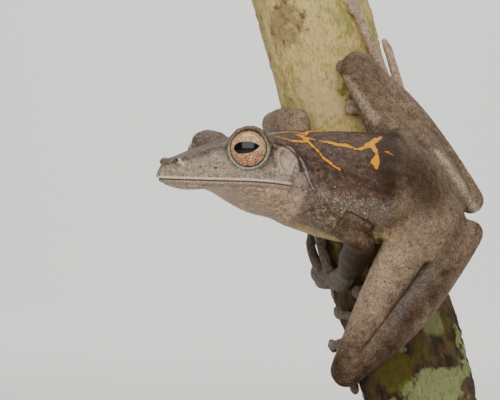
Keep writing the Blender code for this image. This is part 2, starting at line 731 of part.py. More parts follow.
def make_limb_set(hand, thigh, upper_arm):
    """The arm and leg of one side, each part cut clear of what it meets."""
    at = {key[: key.rindex("_")]: value for key, value in JOINTS.items() if key.endswith(hand)}

    def mid(first, second, *bulge):
        return (np.array(at[first]) + at[second]) / 2 + np.array(bulge or (0, 0, 0))

    forearm = limb("forearm", [at["elbow"], mid("elbow", "wrist"), at["wrist"]], GIRTHS["forearm"])
    grip = on_stem(*GRIPS["hand_" + hand][0], 1.35)
    palm = paw("hand_" + hand, at["wrist"], FINGER_DISC, FINGER_GIRTH)
    elbow_cut = bisector(at["elbow"], at["shoulder"], at["wrist"])
    wrist_cut = bisector(at["wrist"], at["elbow"], grip)
    parts = {
        "upper_arm": side_of(upper_arm, at["elbow"], elbow_cut),
        "forearm": side_of(side_of(forearm, at["elbow"], -elbow_cut), at["wrist"], wrist_cut),
        "hand": side_of(palm, at["wrist"], -wrist_cut),
    }
    bow = CALF_BOW[hand] * perpendicular(mid("knee", "heel") - at["hip"], np.subtract(at["heel"], at["knee"]))
    shank = limb("shank", [at["knee"], mid("knee", "heel", *bow), at["heel"]], GIRTHS["shank"])
    sole = on_stem(*GRIPS["foot_" + hand][0], 1.35)
    ankle = at["heel"] + 0.72 * (sole - at["heel"])
    tarsus = limb("tarsus", [at["heel"], (at["heel"] + ankle) / 2, ankle], GIRTHS["tarsus"])
    toes = paw("foot_" + hand, ankle, TOE_DISC, TOE_GIRTH)
    knee_cut = bisector(at["knee"], at["hip"], at["heel"])
    heel_cut = bisector(at["heel"], at["knee"], ankle)
    ankle_cut = unit(at["heel"] - ankle)
    parts["thigh"] = side_of(thigh, at["knee"], knee_cut)
    parts["shank"] = side_of(side_of(shank, at["knee"], -knee_cut), at["heel"], heel_cut)
    parts["tarsus"] = side_of(side_of(tarsus, at["heel"], -heel_cut), ankle, ankle_cut)
    parts["foot"] = side_of(toes, ankle, -ankle_cut)
    for key in ("thigh", "shank", "tarsus", "foot", "upper_arm", "forearm", "hand"):
        part = parts[key]
        thinned(part, TRIANGLES.get(key, TRIANGLES["limb"]))
        cleared(part, [other for other in FROG.objects if not other.name.startswith("stand")])
        node(part, f"{key}_{hand}")


def clear_scene():
    for obj in list(bpy.data.objects):
        bpy.data.objects.remove(obj)


def make_collection(name):
    made = bpy.data.collections.new(name)
    bpy.context.scene.collection.children.link(made)
    return made


clear_scene()
WORK = make_collection("working_pieces")
FROG = make_collection("tree_frog")
node(make_stem(), "perch_stem")
make_stand()
rooted_solids = make_body()
make_eyes()
for side_name in ("left", "right"):
    make_limb_set(side_name, rooted_solids["thigh", side_name], rooted_solids["upper_arm", side_name])
for leftover in list(WORK.objects):
    bpy.data.objects.remove(leftover)
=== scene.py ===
import math
from functools import partialmethod
from types import SimpleNamespace

import bpy
import numpy as np
from mathutils import Matrix, Vector, noise
from mathutils.bvhtree import BVHTree
from mathutils.kdtree import KDTree


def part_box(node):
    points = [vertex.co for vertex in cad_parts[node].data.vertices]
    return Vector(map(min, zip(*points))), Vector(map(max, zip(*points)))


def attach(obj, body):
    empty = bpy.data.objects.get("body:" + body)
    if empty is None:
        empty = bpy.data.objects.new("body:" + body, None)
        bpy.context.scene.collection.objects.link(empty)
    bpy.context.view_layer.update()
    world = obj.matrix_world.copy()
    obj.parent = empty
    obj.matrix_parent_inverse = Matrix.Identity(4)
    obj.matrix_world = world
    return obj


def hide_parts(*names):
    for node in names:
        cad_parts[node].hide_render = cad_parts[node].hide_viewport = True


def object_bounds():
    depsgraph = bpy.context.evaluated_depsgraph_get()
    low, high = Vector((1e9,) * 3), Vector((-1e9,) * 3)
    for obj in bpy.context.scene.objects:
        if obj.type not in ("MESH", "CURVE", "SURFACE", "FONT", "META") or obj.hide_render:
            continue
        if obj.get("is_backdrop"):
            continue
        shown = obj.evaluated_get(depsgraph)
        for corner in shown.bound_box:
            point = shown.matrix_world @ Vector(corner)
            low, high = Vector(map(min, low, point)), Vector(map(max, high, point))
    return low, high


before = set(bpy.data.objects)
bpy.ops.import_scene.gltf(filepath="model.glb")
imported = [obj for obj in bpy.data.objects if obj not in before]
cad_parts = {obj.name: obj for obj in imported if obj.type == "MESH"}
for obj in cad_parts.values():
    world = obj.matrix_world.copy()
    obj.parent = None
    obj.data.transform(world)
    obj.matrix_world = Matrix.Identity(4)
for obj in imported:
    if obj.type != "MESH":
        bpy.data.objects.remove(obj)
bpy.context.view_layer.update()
print("frame loaded:", len(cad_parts), "nodes")

mm = 0.001
poseOrigin = np.array([-12.0, -17.0, 57.0])  # where the frog's own measurements start, in mm on the stand


def inPose(points):
    return np.asarray(points, float) / mm - poseOrigin


def inWorld(points):
    return (np.asarray(points, float) + poseOrigin) * mm


def unit(vector):
    vector = np.asarray(vector, float)
    return vector / np.linalg.norm(vector, axis=-1, keepdims=True)


def smoothStep(values, low, high):
    share = np.clip((np.asarray(values, float) - low) / (high - low), 0.0, 1.0)
    return share * share * (3 - 2 * share)


def bell(values, width):
    return np.exp(-(np.asarray(values) / width) ** 2)


# The camera

view = {
    "distance": 300.0,  # mm from the near eye
    "width": 77.5,  # mm across the picture at the near eye
    "sensor": 36.0,
}


def addObject(name, data):
    made = bpy.data.objects.new(name, data)
    bpy.context.scene.collection.objects.link(made)
    return made


cameraData = bpy.data.cameras.new("camera")
camera = addObject("camera", cameraData)
camera.location = Vector(inWorld((0, -view["distance"], 0)))
camera.rotation_euler = (math.radians(90), 0, 0)
cameraData.sensor_width = view["sensor"]
cameraData.lens = view["sensor"] * view["distance"] / view["width"]
cameraData.clip_start = 0.01
bpy.context.scene.camera = camera


def selectOnly(*objects):
    if bpy.context.object and bpy.context.object.mode != "OBJECT":
        bpy.ops.object.mode_set(mode="OBJECT")
    bpy.ops.object.select_all(action="DESELECT")
    for item in objects:
        item.select_set(True)
    bpy.context.view_layer.objects.active = objects[0]


def applyAll(item):
    selectOnly(item)
    for modifier in list(item.modifiers):
        bpy.ops.object.modifier_apply(modifier=modifier.name)


def fuse(item, grain, grow=0.0):  # one closed surface of even points, moved out a little first
    selectOnly(item)
    bpy.ops.object.mode_set(mode="EDIT")
    bpy.ops.mesh.select_all(action="SELECT")
    bpy.ops.mesh.remove_doubles(threshold=1e-6)
    bpy.ops.object.mode_set(mode="OBJECT")
    if grow:
        displace = item.modifiers.new("grow", "DISPLACE")
        displace.strength, displace.mid_level = grow * mm, 0.0
    remesh = item.modifiers.new("fuse", "REMESH")
    remesh.mode = "VOXEL"
    remesh.voxel_size = grain * mm
    applyAll(item)


def copyOf(node, name):
    return addObject(name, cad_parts[node].data.copy())


# Shader maths

def plug(node, values):  # each is a number, a colour or a wire
    for name, value in values.items():
        if isinstance(value, Wire):
            value.tree.links.new(value.socket, node.inputs[name])
        else:
            node.inputs[name].default_value = value


class Wire:  # a socket that can be added, multiplied and mixed like a number
    def __init__(self, tree, socket):
        self.tree = tree
        self.socket = socket

    def node(self, kind, settings, values, output=0):
        made = self.tree.nodes.new("ShaderNode" + kind)
        for name, value in settings.items():
            setattr(made, name, value)
        plug(made, values)
        return Wire(self.tree, made.outputs[output])

    def withVector(self, other=None):
        if isinstance(other, (tuple, Vector, np.ndarray)):
            return True
        wires = [self, other] if isinstance(other, Wire) else [self]
        return any(wire.socket.type in ("VECTOR", "RGBA") for wire in wires)

    def combine(self, operation, other, turned=False):
        first, second = (other, self) if turned else (self, other)
        if not self.withVector(other):
            return self.node("Math", {"operation": operation}, {0: first, 1: second})
        if operation == "MULTIPLY":
            for vector, number in ((first, second), (second, first)):
                single = isinstance(number, (int, float))
                if isinstance(number, Wire):
                    single = not number.withVector()
                if single:
                    return self.node("VectorMath", {"operation": "SCALE"}, {0: vector, "Scale": number})
        return self.node("VectorMath", {"operation": operation}, {0: first, 1: second})

    __add__ = partialmethod(combine, "ADD")
    __radd__ = partialmethod(combine, "ADD", turned=True)
    __sub__ = partialmethod(combine, "SUBTRACT")
    __rsub__ = partialmethod(combine, "SUBTRACT", turned=True)
    __mul__ = partialmethod(combine, "MULTIPLY")
    __rmul__ = partialmethod(combine, "MULTIPLY", turned=True)
    __truediv__ = partialmethod(combine, "DIVIDE")
    __pow__ = partialmethod(combine, "POWER")
    least = partialmethod(combine, "MINIMUM")
    most = partialmethod(combine, "MAXIMUM")

    def __abs__(self):
        return self.node("Math", {"operation": "ABSOLUTE"}, {0: self})

    def wave(self):  # its sine
        return self.node("Math", {"operation": "SINE"}, {0: self})

    def clamped(self):
        return self.node("Clamp", {}, {"Value": self})

    def along(self, direction):  # how far a vector reaches in a direction
        ends = {0: self, 1: tuple(direction)}
        return self.node("VectorMath", {"operation": "DOT_PRODUCT"}, ends, output=1)

    def reach(self):
        return self.node("VectorMath", {"operation": "LENGTH"}, {0: self}, output=1)

    def step(self, low, high):  # 0 at the first value, 1 at the second, smooth between
        ends = {"Value": self, "From Min": low, "From Max": high}
        return self.node("MapRange", {"interpolation_type": "SMOOTHSTEP"}, ends)

    def spread(self, size, detail=2.0, rough=0.55, bend=0.0):  # cloudy noise, about 0 to 1
        form = {"Scale": 1 / size, "Detail": detail, "Roughness": rough, "Distortion": bend}
        return self.node("TexNoise", {}, {"Vector": self, **form})

    def cells(self, size, output=0):  # how far to the middle of the nearest cell, or its own colour
        return self.node("TexVoronoi", {}, {"Vector": self, "Scale": 1 / size}, output)

    def mixed(self, first, second):  # self is the share of the second colour
        return self.node("Mix", {"data_type": "RGBA"}, {0: self, 6: first, 7: second}, 2)

    def part(self, letter):
        return self.node("SeparateXYZ", {}, {0: self}, "XYZ".index(letter))


def shade(red, green, blue):  # a colour as seen on a screen, 0 to 255
    scale = [value / 255 for value in (red, green, blue)]
    return (*[v / 12.92 if v < 0.04045 else ((v + 0.055) / 1.055) ** 2.4 for v in scale], 1.0)


def lookOf(values):  # the same, with each screen colour as Blender has it
    colours = {name: shade(*value) for name, value in values.items() if np.size(value) == 3}
    return SimpleNamespace(**{**values, **colours})


def painted(colour, *coats):  # each coat is its share and its own colour
    for share, coat in coats:
        colour = share.mixed(colour, coat)
    return colour


def newMaterial(name):
    material = bpy.data.materials.new(name)
    material.use_nodes = True
    tree = material.node_tree
    shader = tree.nodes["Principled BSDF"]
    place = Wire(tree, tree.nodes.new("ShaderNodeTexCoord").outputs["Object"])
    return material, shader, place


def putOn(item, material):
    item.data.materials.clear()
    item.data.materials.append(material)


def bump(height, distance, strength):
    return height.node("Bump", {}, {"Height": height, "Distance": distance * mm, "Strength": strength})


def attribute(place, name, output="Fac"):
    made = place.tree.nodes.new("ShaderNodeAttribute")
    made.attribute_name = name
    return Wire(place.tree, made.outputs[output])


# Measurements of the frog, in mm, as (right, deep, up) from the near eye

head = {  # places on it are (forward, left, up) from its middle, and are the same on both sides
    "middle": np.array([-3.5, 5.1, 3.1]),
    "turn": 32.0,
    "roll": 2.0,
    "mouthRise": 0.012,
    "mouthDrop": 0.008,
    "mouthEnd": -6.3,
    "eyeAxis": (0.53, 0.84, 0.06),
    "eyeRadius": 2.95,
    "drum": (-5.6, 8.1, 3.35),
    "drumFaces": (-0.12, 0.93, 0.36),
    "drumSize": (1.5, 2.15),
    "nostril": (10.55, 2.3, 3.05),
    "fold": [
        (-3.3, 7.0, 6.1), (-4.7, 7.5, 5.7), (-5.9, 8.0, 5.2), (-6.8, 8.4, 4.4), (-7.4, 8.7, 3.3),
        (-7.9, 8.9, 1.6),
    ],
}
turn, roll = math.radians(head["turn"]), math.radians(head["roll"])
upright = np.array([0, 0, 1.0])
headForward = np.array([-math.cos(turn), -math.sin(turn), 0.0])
levelLeft = np.array([math.sin(turn), -math.cos(turn), 0.0])
headLeft = math.cos(roll) * levelLeft - math.sin(roll) * upright
headUp = math.cos(roll) * upright + math.sin(roll) * levelLeft
headAxes = np.stack([headForward, headLeft, headUp])


def fromHead(place):
    return head["middle"] + np.asarray(place, float) @ headAxes


def mirrored(place, side):  # side is 1 for the left and -1 for the right
    return np.array(place) * (1, side, 1)


def turnedWithHead(direction):
    return unit(np.asarray(direction, float) @ headAxes)


spine = [  # points of the middle line, and how far the back rolls towards the viewer, in degrees
    ((5.8, 10.3, 3.8), 28.0), ((9.3, 11.0, 3.1), 39.0), ((13.2, 11.6, 2.4), 42.0),
    ((17.1, 12.0, 1.9), 44.0), ((21.0, 12.3, 1.8), 45.0), ((24.2, 12.4, 1.5), 46.0),
    ((27.4, 12.3, 0.1), 46.0), ((30.6, 12.2, -1.5), 46.0), ((32.6, 12.2, -2.8), 46.0),
]

stem = {
    "lean": 15.6,
    "middle": np.array([19.6, 31.5, 0.0]),
    "top": 39.5,
}
lean = math.radians(stem["lean"])
stemAlong = np.array([-math.sin(lean), 0.0, math.cos(lean)])
stemAcross = np.array([math.cos(lean), 0.0, math.sin(lean)])
bends = {
    "knee_left": (15.1, 6.0, -27.0),
    "knee_right": (17.3, 17.6, 21.8),
    "shoulder_left": (9.6, 5.0, -1.9),
}


def backPlaces(points):  # how far along the back, how far left of its middle, how high above the spine
    middles = np.array([middle for middle, _ in spine])
    rolls = np.radians([angle for _, angle in spine])
    ahead = unit(-np.gradient(middles, axis=0))
    above = unit(upright - ahead[:, 2:3] * ahead)
    left = np.cross(above, ahead)
    turnedLeft = np.cos(rolls)[:, None] * left - np.sin(rolls)[:, None] * above
    turnedUp = np.cos(rolls)[:, None] * above + np.sin(rolls)[:, None] * left
    gaps = np.linalg.norm(np.diff(middles, axis=0), axis=1)
    travelled = np.concatenate([[0], np.cumsum(gaps)])
    best = np.full(len(points), np.inf)
    found = np.zeros((len(points), 3))
    for i in range(len(middles) - 1):
        span = middles[i + 1] - middles[i]
        share = np.clip((points - middles[i]) @ span / (span @ span), 0.0 if i else -9.0, 1.0)
        nearest = middles[i] + share[:, None] * span
        away = points - nearest
        distance = np.linalg.norm(away, axis=1)
        mix = np.clip(share, 0, 1)[:, None]
        sideways = turnedLeft[i] * (1 - mix) + turnedLeft[i + 1] * mix
        upwards = turnedUp[i] * (1 - mix) + turnedUp[i + 1] * mix
        columns = (travelled[i] + share * gaps[i], (away * sideways).sum(1), (away * upwards).sum(1))
        place = np.stack(columns, axis=1)
        closer = distance < best
        best[closer] = distance[closer]
        found[closer] = place[closer]
    return found


def pathDistance(points, path, widths=None):  # less half the width of the path there, if it has one
    best = np.full(len(points), np.inf)
    rows = np.asarray(path, float)
    widths = np.zeros(len(rows)) if widths is None else np.asarray(widths)
    for start, end, first, last in zip(rows, rows[1:], widths, widths[1:]):
        span = end - start
        share = np.clip((points - start) @ span / (span @ span), 0, 1)
        gap = np.linalg.norm(points - start - share[:, None] * span, axis=1)
        best = np.minimum(best, gap - first - share * (last - first))
    return best


def strokeGap(points, *strokes):  # from the edge of the nearest; each has rows of x, y and half width
    rows = [np.array(stroke) for stroke in strokes]
    return np.min([pathDistance(points, row[:, :2], row[:, 2]) for row in rows], axis=0)


# The skin, one closed surface over all the flesh

skin = {
    "grain": 0.19,  # mm between points when it is first made
    "draftGrain": 0.3,
    "grow": 0.17,  # mm, closes the gaps between the solids
    "smoothing": 60,
    "triangles": 192000,
    "draftTriangles": 120000,
    "granules": 0.045,
    "granuleSize": 0.55,
}

flesh = ("head", "torso", "upper_arm", "forearm", "hand", "thigh", "shank", "tarsus", "foot")
fleshNodes = sorted(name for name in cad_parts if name.startswith(flesh))
copies = [copyOf(name, name + ".copy") for name in fleshNodes]
labels = np.concatenate([np.full(len(item.data.polygons), n) for n, item in enumerate(copies)])
selectOnly(*copies)
bpy.ops.object.join()
frogSkin = bpy.context.object
frogSkin.name = frogSkin.data.name = "frog_skin"
corners = np.array([vertex.co for vertex in frogSkin.data.vertices])
solidTree = BVHTree.FromPolygons(corners.tolist(), [tuple(face.vertices) for face in frogSkin.data.polygons])
fuse(frogSkin, skin["grain"], skin["grow"])


def readRows(parts, name, size, kind=float):
    flat = np.zeros(len(parts) * size, kind)
    parts.foreach_get(name, flat)
    return flat.reshape(-1, size)


def readPoints(item):
    return inPose(readRows(item.data.vertices, "co", 3))


def readNormals(item):
    return readRows(item.data.vertices, "normal", 3)


def readEdges(item):
    return readRows(item.data.edges, "vertices", 2, int)


def writePoints(item, points):
    item.data.vertices.foreach_set("co", inWorld(points).ravel())
    item.data.update()


def spreadOut(values, edges, rounds, weight=0.5):  # evens out values over the surface
    values = np.array(values, float)
    columns = values.reshape(len(values), -1)
    near = np.concatenate([edges[:, 0], edges[:, 1]])
    far = np.concatenate([edges[:, 1], edges[:, 0]])
    count = np.maximum(np.bincount(near, minlength=len(values)), 1)
    weight = np.broadcast_to(np.asarray(weight, float), (len(values),))
    for _ in range(rounds):
        for column in columns.T:
            mean = np.bincount(near, column[far], minlength=len(values)) / count
            column += weight * (mean - column)
    return columns.reshape(values.shape)


def evened(points, edges, rounds, weight=0.5):  # smooth, and as large as before
    smoothed = spreadOut(points, edges, rounds, weight)
    return smoothed + spreadOut(points - smoothed, edges, rounds, weight)


def nearestNodes(points):
    found = np.zeros(len(points), int)
    for index, place in enumerate(inWorld(points)):
        found[index] = labels[solidTree.find_nearest(place)[2]]
    return found


def zoneOf(found, edges, *starts, rounds=6):
    members = [n for n, name in enumerate(fleshNodes) if name.startswith(starts)]
    return spreadOut(np.isin(found, members).astype(float), edges, rounds)


points, edges = readPoints(frogSkin), readEdges(frogSkin)
print("skin fused:", len(points), "points")
found = nearestNodes(points)
onDigits = zoneOf(found, edges, "hand", "foot")
onHead = zoneOf(found, edges, "head")
eyes = {}
for side, name in ((1, "eye_left"), (-1, "eye_right")):
    low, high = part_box(name)
    centre = inPose(0.5 * (np.array(low) + np.array(high)))
    axis = turnedWithHead(mirrored(head["eyeAxis"], side))
    rise = unit(headUp - (headUp @ axis) * axis)
    eyes[name] = {"centre": centre, "axis": axis, "rise": rise, "across": side * np.cross(rise, axis)}


def inHeadPlaces(points):
    return (points - head["middle"]) @ headAxes.T


def aboveMouth(ahead, rise):
    back = np.minimum(ahead - 2, 0)
    return rise - head["mouthRise"] * ahead + head["mouthDrop"] * back ** 2


keep = np.zeros(len(points))
for eye in eyes.values():
    away = points - eye["centre"]
    keep = np.maximum(keep, 1 - smoothStep(np.linalg.norm(away, axis=1), 3.8, 6.0))
snout = onHead * smoothStep(inHeadPlaces(points)[:, 0], 6, 10)
weight = 0.5 * (1 - 0.45 * onHead) * (1 - 0.82 * onDigits) * (1 - 0.8 * keep) * (1 - 0.5 * snout)
points = evened(points, edges, skin["smoothing"], weight)


# Sculpted forms: each gives how far the skin moves out along its normals

lids = {
    "close": 0.5,  # how much of their thickness round the eye is drawn in
    "brow": 0.2,  # less of it at the top
    "wart": 0.17,
    "wartSize": 0.62,
}


def drawLids(points):
    for eye in eyes.values():
        away = points - eye["centre"]
        distance = np.linalg.norm(away, axis=1)
        near = (1 - smoothStep(distance, 3.95, 5.0)) * smoothStep(away @ eye["axis"], -2.6, -0.6)
        above = smoothStep((away @ eye["rise"]) / distance, 0.35, 0.9)
        over = np.maximum(distance - 3.02, 0)
        moved = distance - near * (lids["close"] - lids["brow"] * above) * over
        points = eye["centre"] + away * (moved / distance)[:, None]
    return points


def warts(points, size):
    return np.array([noise.noise(place) for place in (points / size).tolist()])


def shapeLids(points, zone):
    lift = np.zeros(len(points))
    for eye in eyes.values():
        away = points - eye["centre"]
        distance = np.linalg.norm(away, axis=1)
        depth = away @ eye["axis"]
        radius = np.hypot(away @ eye["across"], away @ eye["rise"])
        front = smoothStep(depth, -0.2, 0.5)
        lift += front * (0.07 * bell(radius - 3.12, 0.12) - 0.06 * bell(radius - 3.42, 0.14))
        upper = 0.3 + 0.7 * smoothStep(away @ eye["rise"], 0.6, 2.0)
        upper = upper * front * (1 - smoothStep(distance, 4.1, 4.8))
        upper = upper * smoothStep(distance, 3.15, 3.4)
        rough = np.flatnonzero(upper > 0.02)
        bumps = warts(points[rough], lids["wartSize"]) + 0.5 * warts(points[rough], 0.5 * lids["wartSize"])
        lift[rough] += upper[rough] * lids["wart"] * bumps
    return lift


def shapeLips(points, zone):
    ahead, _, rise = inHeadPlaces(points).T
    height = aboveMouth(ahead, rise)
    mouth = zone["head"] * smoothStep(ahead, head["mouthEnd"] - 0.8, head["mouthEnd"] + 0.6)
    ridge = 0.12 * bell(height - 0.42, 0.2) + 0.07 * bell(height + 0.34, 0.2)
    return mouth * (ridge - 0.26 * bell(height, 0.12) - 0.08 * bell(height + 0.72, 0.16))


def shapeEars(points, zone):
    places = inHeadPlaces(points)
    lift = np.zeros(len(points))
    for side in (1, -1):
        faces = unit(mirrored(head["drumFaces"], side))
        away = places - mirrored(head["drum"], side)
        flat = away - (away @ faces)[:, None] * faces
        oval = np.hypot(flat[:, 0] / head["drumSize"][0], flat[:, 2] / head["drumSize"][1])
        near = zone["head"] * smoothStep(-np.abs(away @ faces), -1.8, -0.9)
        lift += near * (0.09 * bell(oval - 1, 0.09) - 0.07 * (1 - smoothStep(oval, 0.7, 0.95)))
        path = mirrored(head["fold"], side)
        gap = pathDistance(places, path)
        under = pathDistance(places + np.array([-0.35, 0.1 * side, 0.55]), path)
        lift += 0.14 * bell(gap, 0.5) - 0.2 * bell(under, 0.2)
    return lift


def shapeNostrils(points, zone):
    places = inHeadPlaces(points)
    lift = np.zeros(len(points))
    for side in (1, -1):
        nearest = np.argmin(np.linalg.norm(places - mirrored(head["nostril"], side), axis=1))
        gap = np.linalg.norm(places - places[nearest], axis=1)
        lift += zone["head"] * (0.12 * bell(gap - 0.5, 0.2) - 0.5 * bell(gap, 0.24))
    return lift


def shapeThroat(points, zone):
    ahead, _, rise = inHeadPlaces(points).T
    below = -aboveMouth(ahead, rise)
    throat = zone["head"] * smoothStep(below, 0.9, 1.6) * smoothStep(-ahead, -8, -3)
    return throat * 0.035 * np.sin(below * 3.6 + 0.7 * ahead)


def shapeBack(points, zone):
    back = backPlaces(points)
    upper = smoothStep(back[:, 2], 1.0, 3.0) * np.maximum(zone["torso"], zone["head"])
    lift = np.zeros(len(points))
    for path in (marks["leftLine"] + marks["leftFold"][1:], marks["rightLine"] + marks["rightFold"][1:]):
        flatPath = [(along, out, 0.0) for along, out, *_ in path]
        lift += upper * 0.1 * bell(pathDistance(back * (1, 1, 0), flatPath), 0.35)
    return lift


creases = {
    "depth": 0.3,
    "pairs": [  # two nodes, the bend between them, and the mm from it over which the groove starts
        ("thigh_left", "shank_left", "knee_left", 2.5, 7.0),
        ("thigh_right", "shank_right", "knee_right", 2.5, 7.0),
        ("upper_arm_left", "torso", "shoulder_left", 1.0, 3.0),
    ],
}


def grooves(points, found, edges, rounds):
    share = np.zeros(len(points))
    for first, second, bend, start, full in creases["pairs"]:
        both = 4 * zoneOf(found, edges, first, rounds=rounds) * zoneOf(found, edges, second, rounds=rounds)
        clear = smoothStep(np.linalg.norm(points - bends[bend], axis=1), start, full)
        share = np.maximum(share, clear * np.clip(both, 0, 1) ** 2)
    return share


def sculpt(item, points, edges, found):
    zone = {name: zoneOf(found, edges, name) for name in ("head", "torso")}
    points = drawLids(points)
    writePoints(item, points)
    lift = -creases["depth"] * grooves(points, found, edges, 8)
    for shape in (shapeLids, shapeLips, shapeEars, shapeNostrils, shapeThroat, shapeBack):
        lift += shape(points, zone)
    calm = 1 - 0.6 * zoneOf(found, edges, "hand", "foot")
    lift += skin["granules"] * calm * warts(points, skin["granuleSize"])
    return points + readNormals(item) * lift[:, None]


marks = {  # on the back: mm along it, mm left of its middle, half the width in mm
    "front": [
        (-5.6, 1.6, 0.18), (-4.5, 1.85, 0.28), (-3.1, 2.35, 0.28), (-1.6, 2.85, 0.27),
        (0.1, 2.0, 0.26), (1.2, 1.1, 0.3),
    ],
    "leftLine": [(1.2, 1.1, 0.24), (2.1, 2.15, 0.2), (3.4, 3.1, 0.2), (5.5, 4.2, 0.17), (7.0, 4.9, 0.1)],
    "leftFold": [(7.0, 4.9, 0.1), (9.0, 5.2, 0.1), (10.4, 5.4, 0.1), (12.6, 5.6, 0.1)],
    "rightLine": [
        (1.2, -1.3, 0.24), (1.8, -3.1, 0.2), (2.8, -3.8, 0.2), (3.9, -4.3, 0.2), (5.6, -4.8, 0.15),
    ],
    "rightFold": [(5.6, -4.8, 0.1), (7.5, -5.2, 0.1), (10.4, -5.4, 0.1), (12.6, -5.6, 0.1)],
    "waist": [(-0.2, -0.6, 0.35), (0.5, -0.1, 0.5), (0.9, 0.5, 0.42), (1.3, 0.1, 0.4)],
    "stub": [(1.4, 0.0, 0.22), (2.7, -0.1, 0.14)],
    "stripe": [
        (3.1, -0.2, 0.12), (3.9, -0.25, 0.22), (5.5, -0.4, 0.36), (6.4, -0.1, 0.33), (8.3, -0.3, 0.38),
        (9.2, 0.1, 0.3), (10.2, 0.3, 0.14), (11.0, 0.0, 0.36), (12.7, -1.0, 0.55),
    ],
    "rightArm": [(12.7, -1.0, 0.55), (13.3, -1.5, 0.5), (14.3, -2.9, 0.36), (15.1, -3.5, 0.14)],
    "hook": [(14.2, -2.2, 0.16), (14.9, -2.3, 0.14)],
    "leftArm": [(12.9, -1.0, 0.5), (13.4, -0.5, 0.4), (13.8, 0.7, 0.3), (13.9, 1.3, 0.24)],
    "leftBlob": [(13.9, 1.5, 0.3), (13.5, 2.4, 0.6), (13.5, 2.9, 0.62), (13.7, 3.7, 0.25)],
    "rear": [(15.1, 0.4, 0.12), (15.8, 0.6, 0.2), (16.4, 1.0, 0.1)],
}

points = sculpt(frogSkin, points, edges, found)
writePoints(frogSkin, points)
print("skin sculpted")

# The head keeps its finest points, and the rest is thinned
nearHead = onHead * smoothStep(inHeadPlaces(points)[:, 0], -11, -8)
fine = np.clip(nearHead + 0.5 * keep, 0, 1)
group = frogSkin.vertex_groups.new(name="fine")
steps = np.round(fine * 8).astype(int)
for step in range(1, 9):
    group.add(np.flatnonzero(steps == step).tolist(), step / 8, "REPLACE")
count = sum(len(face.vertices) - 2 for face in frogSkin.data.polygons)
target = skin["triangles"]
if count > target:
    thin = frogSkin.modifiers.new("thin", "DECIMATE")
    thin.ratio = target / count
    thin.vertex_group = "fine"
    thin.invert_vertex_group = True
    thin.vertex_group_factor = 2.0
    applyAll(frogSkin)
frogSkin.vertex_groups.clear()
selectOnly(frogSkin)
bpy.ops.object.shade_smooth()
print("skin thinned:", len(frogSkin.data.polygons), "faces of", count)

# a pale bluish painted highlight just behind the ear fold: forward, up and half width in mm
earStripe = [(-7.5, 4.0, 0.16), (-7.9, 3.2, 0.24), (-8.5, 2.1, 0.27), (-9.2, 0.2, 0.22), (-10.6, -1.4, 0.12)]
rump = {  # as seen from the side, in mm
    "path": [(22.8, 0, 9.0), (25.6, 0, 5.0), (28.4, 0, 0.6)],
    "widths": [1.4, 3.2, 2.8],
    "paleEdge": [(30.3, 0, 7.6), (33.6, 0, 2.9), (37.0, 0, -2.0)],
    "thighEdge": [(15.6, 0, 19.8), (18.6, 0, 15.4), (20.4, 0, 13.0)],
    "fold": [(23.2, 0, 10.9), (24.2, 0, 9.6), (25.3, 0, 7.9)],
}
armFold = {  # the left upper arm where it lies under the skin of the chest, as seen from the side
    "path": [(9.8, 0, -1.6), (13.0, 0, -3.5), (16.7, 0, -5.4)],
    "widths": [0.8, 1.4, 1.5],
    # the edge is the crease along the top of the arm, which is painted dark as shade
    "edge": [(11.6, 0, 0.0), (12.6, 0, -1.9), (15.1, 0, -3.5)],
}
tones = {  # how pale each limb is, from 0 to 1
    "thigh_left": 0.82, "shank_left": 0.24, "thigh_right": 0.46, "shank_right": 0.5, "tarsus_right": 0.7,
    "tarsus": 0.25, "upper_arm_right": 0.9, "forearm_right": 0.7, "hand_right": 0.5, "upper_arm": 0.16,
    "forearm": 0.0, "hand": 0.0, "foot_right": 0.95, "foot": 0.3, "torso": 0.46,
}
toneSpots = [  # where a limb is paler or darker: place, mm over which it fades, tone
    # the first spot darkens the left leg towards its knee, as painted shade
    ((15.1, 6.0, -27.0), (1.0, 12.0), 0.14), ((27.9, 8.0, -4.0), (3.0, 9.0), 0.55),
    ((17.3, 17.6, 21.8), (2.0, 9.0), 0.26), ((34.5, 8.0, -6.0), (1.0, 5.0), 0.36),
]
legBands = {  # across the folded left leg: a line between thigh and shank, and tones beside it
    "start": np.array([18.1, 0.0, -22.7]),
    "across": np.array([-0.81, 0.0, 0.587]),  # towards the thigh
    "places": [-5.4, -4.5, -3.2, -2.0, -0.7, 0.0, 0.9, 2.4, 4.0, 5.2],
    "tones": [0.46, 0.14, 0.02, 0.2, 0.34, 0.3, 0.42, 0.78, 0.92, 1.0],
}
points, edges = readPoints(frogSkin), readEdges(frogSkin)
found = nearestNodes(points)
back = backPlaces(points)
fromSide = points * (1, 0, 1)


def toneOf(name):
    return next((tone for start, tone in tones.items() if name.startswith(start)), 0.5)


tone = np.array([toneOf(name) for name in fleshNodes])[found]
foldedLeg = np.isin(found, [fleshNodes.index("thigh_left"), fleshNodes.index("shank_left")])
acrossLeg = (points - legBands["start"]) @ legBands["across"]
tone[foldedLeg] = np.interp(acrossLeg[foldedLeg], legBands["places"], legBands["tones"])
greyLeg = zoneOf(found, edges, "shank_left") * bell(acrossLeg + 1.3, 1.2)
greyLeg = greyLeg * smoothStep(np.linalg.norm(points - bends["knee_left"], axis=1), 5, 14)
for middle, fades, spotTone in toneSpots:
    share = smoothStep(np.linalg.norm(points - middle, axis=1), *fades)
    tone = tone * share + spotTone * (1 - share)
# how far each point lies below its neighbours, for the painted shade in hollows
away = ((spreadOut(points, edges, 6) - points) * readNormals(frogSkin)).sum(1)
places = inHeadPlaces(points)
side = places[:, [0, 2]]
flat = back[:, :2]
backLines = [marks[name] for name in marks if name not in ("front", "leftFold", "rightFold")]
bothSides = np.abs(flat * (0, 1)) + flat * (1, 0)
earFold = [(ahead, rise, 0.03) for ahead, _, rise in head["fold"]]
foldPlaces, foldHeights = np.array(head["fold"][::-1])[:, [0, 2]].T
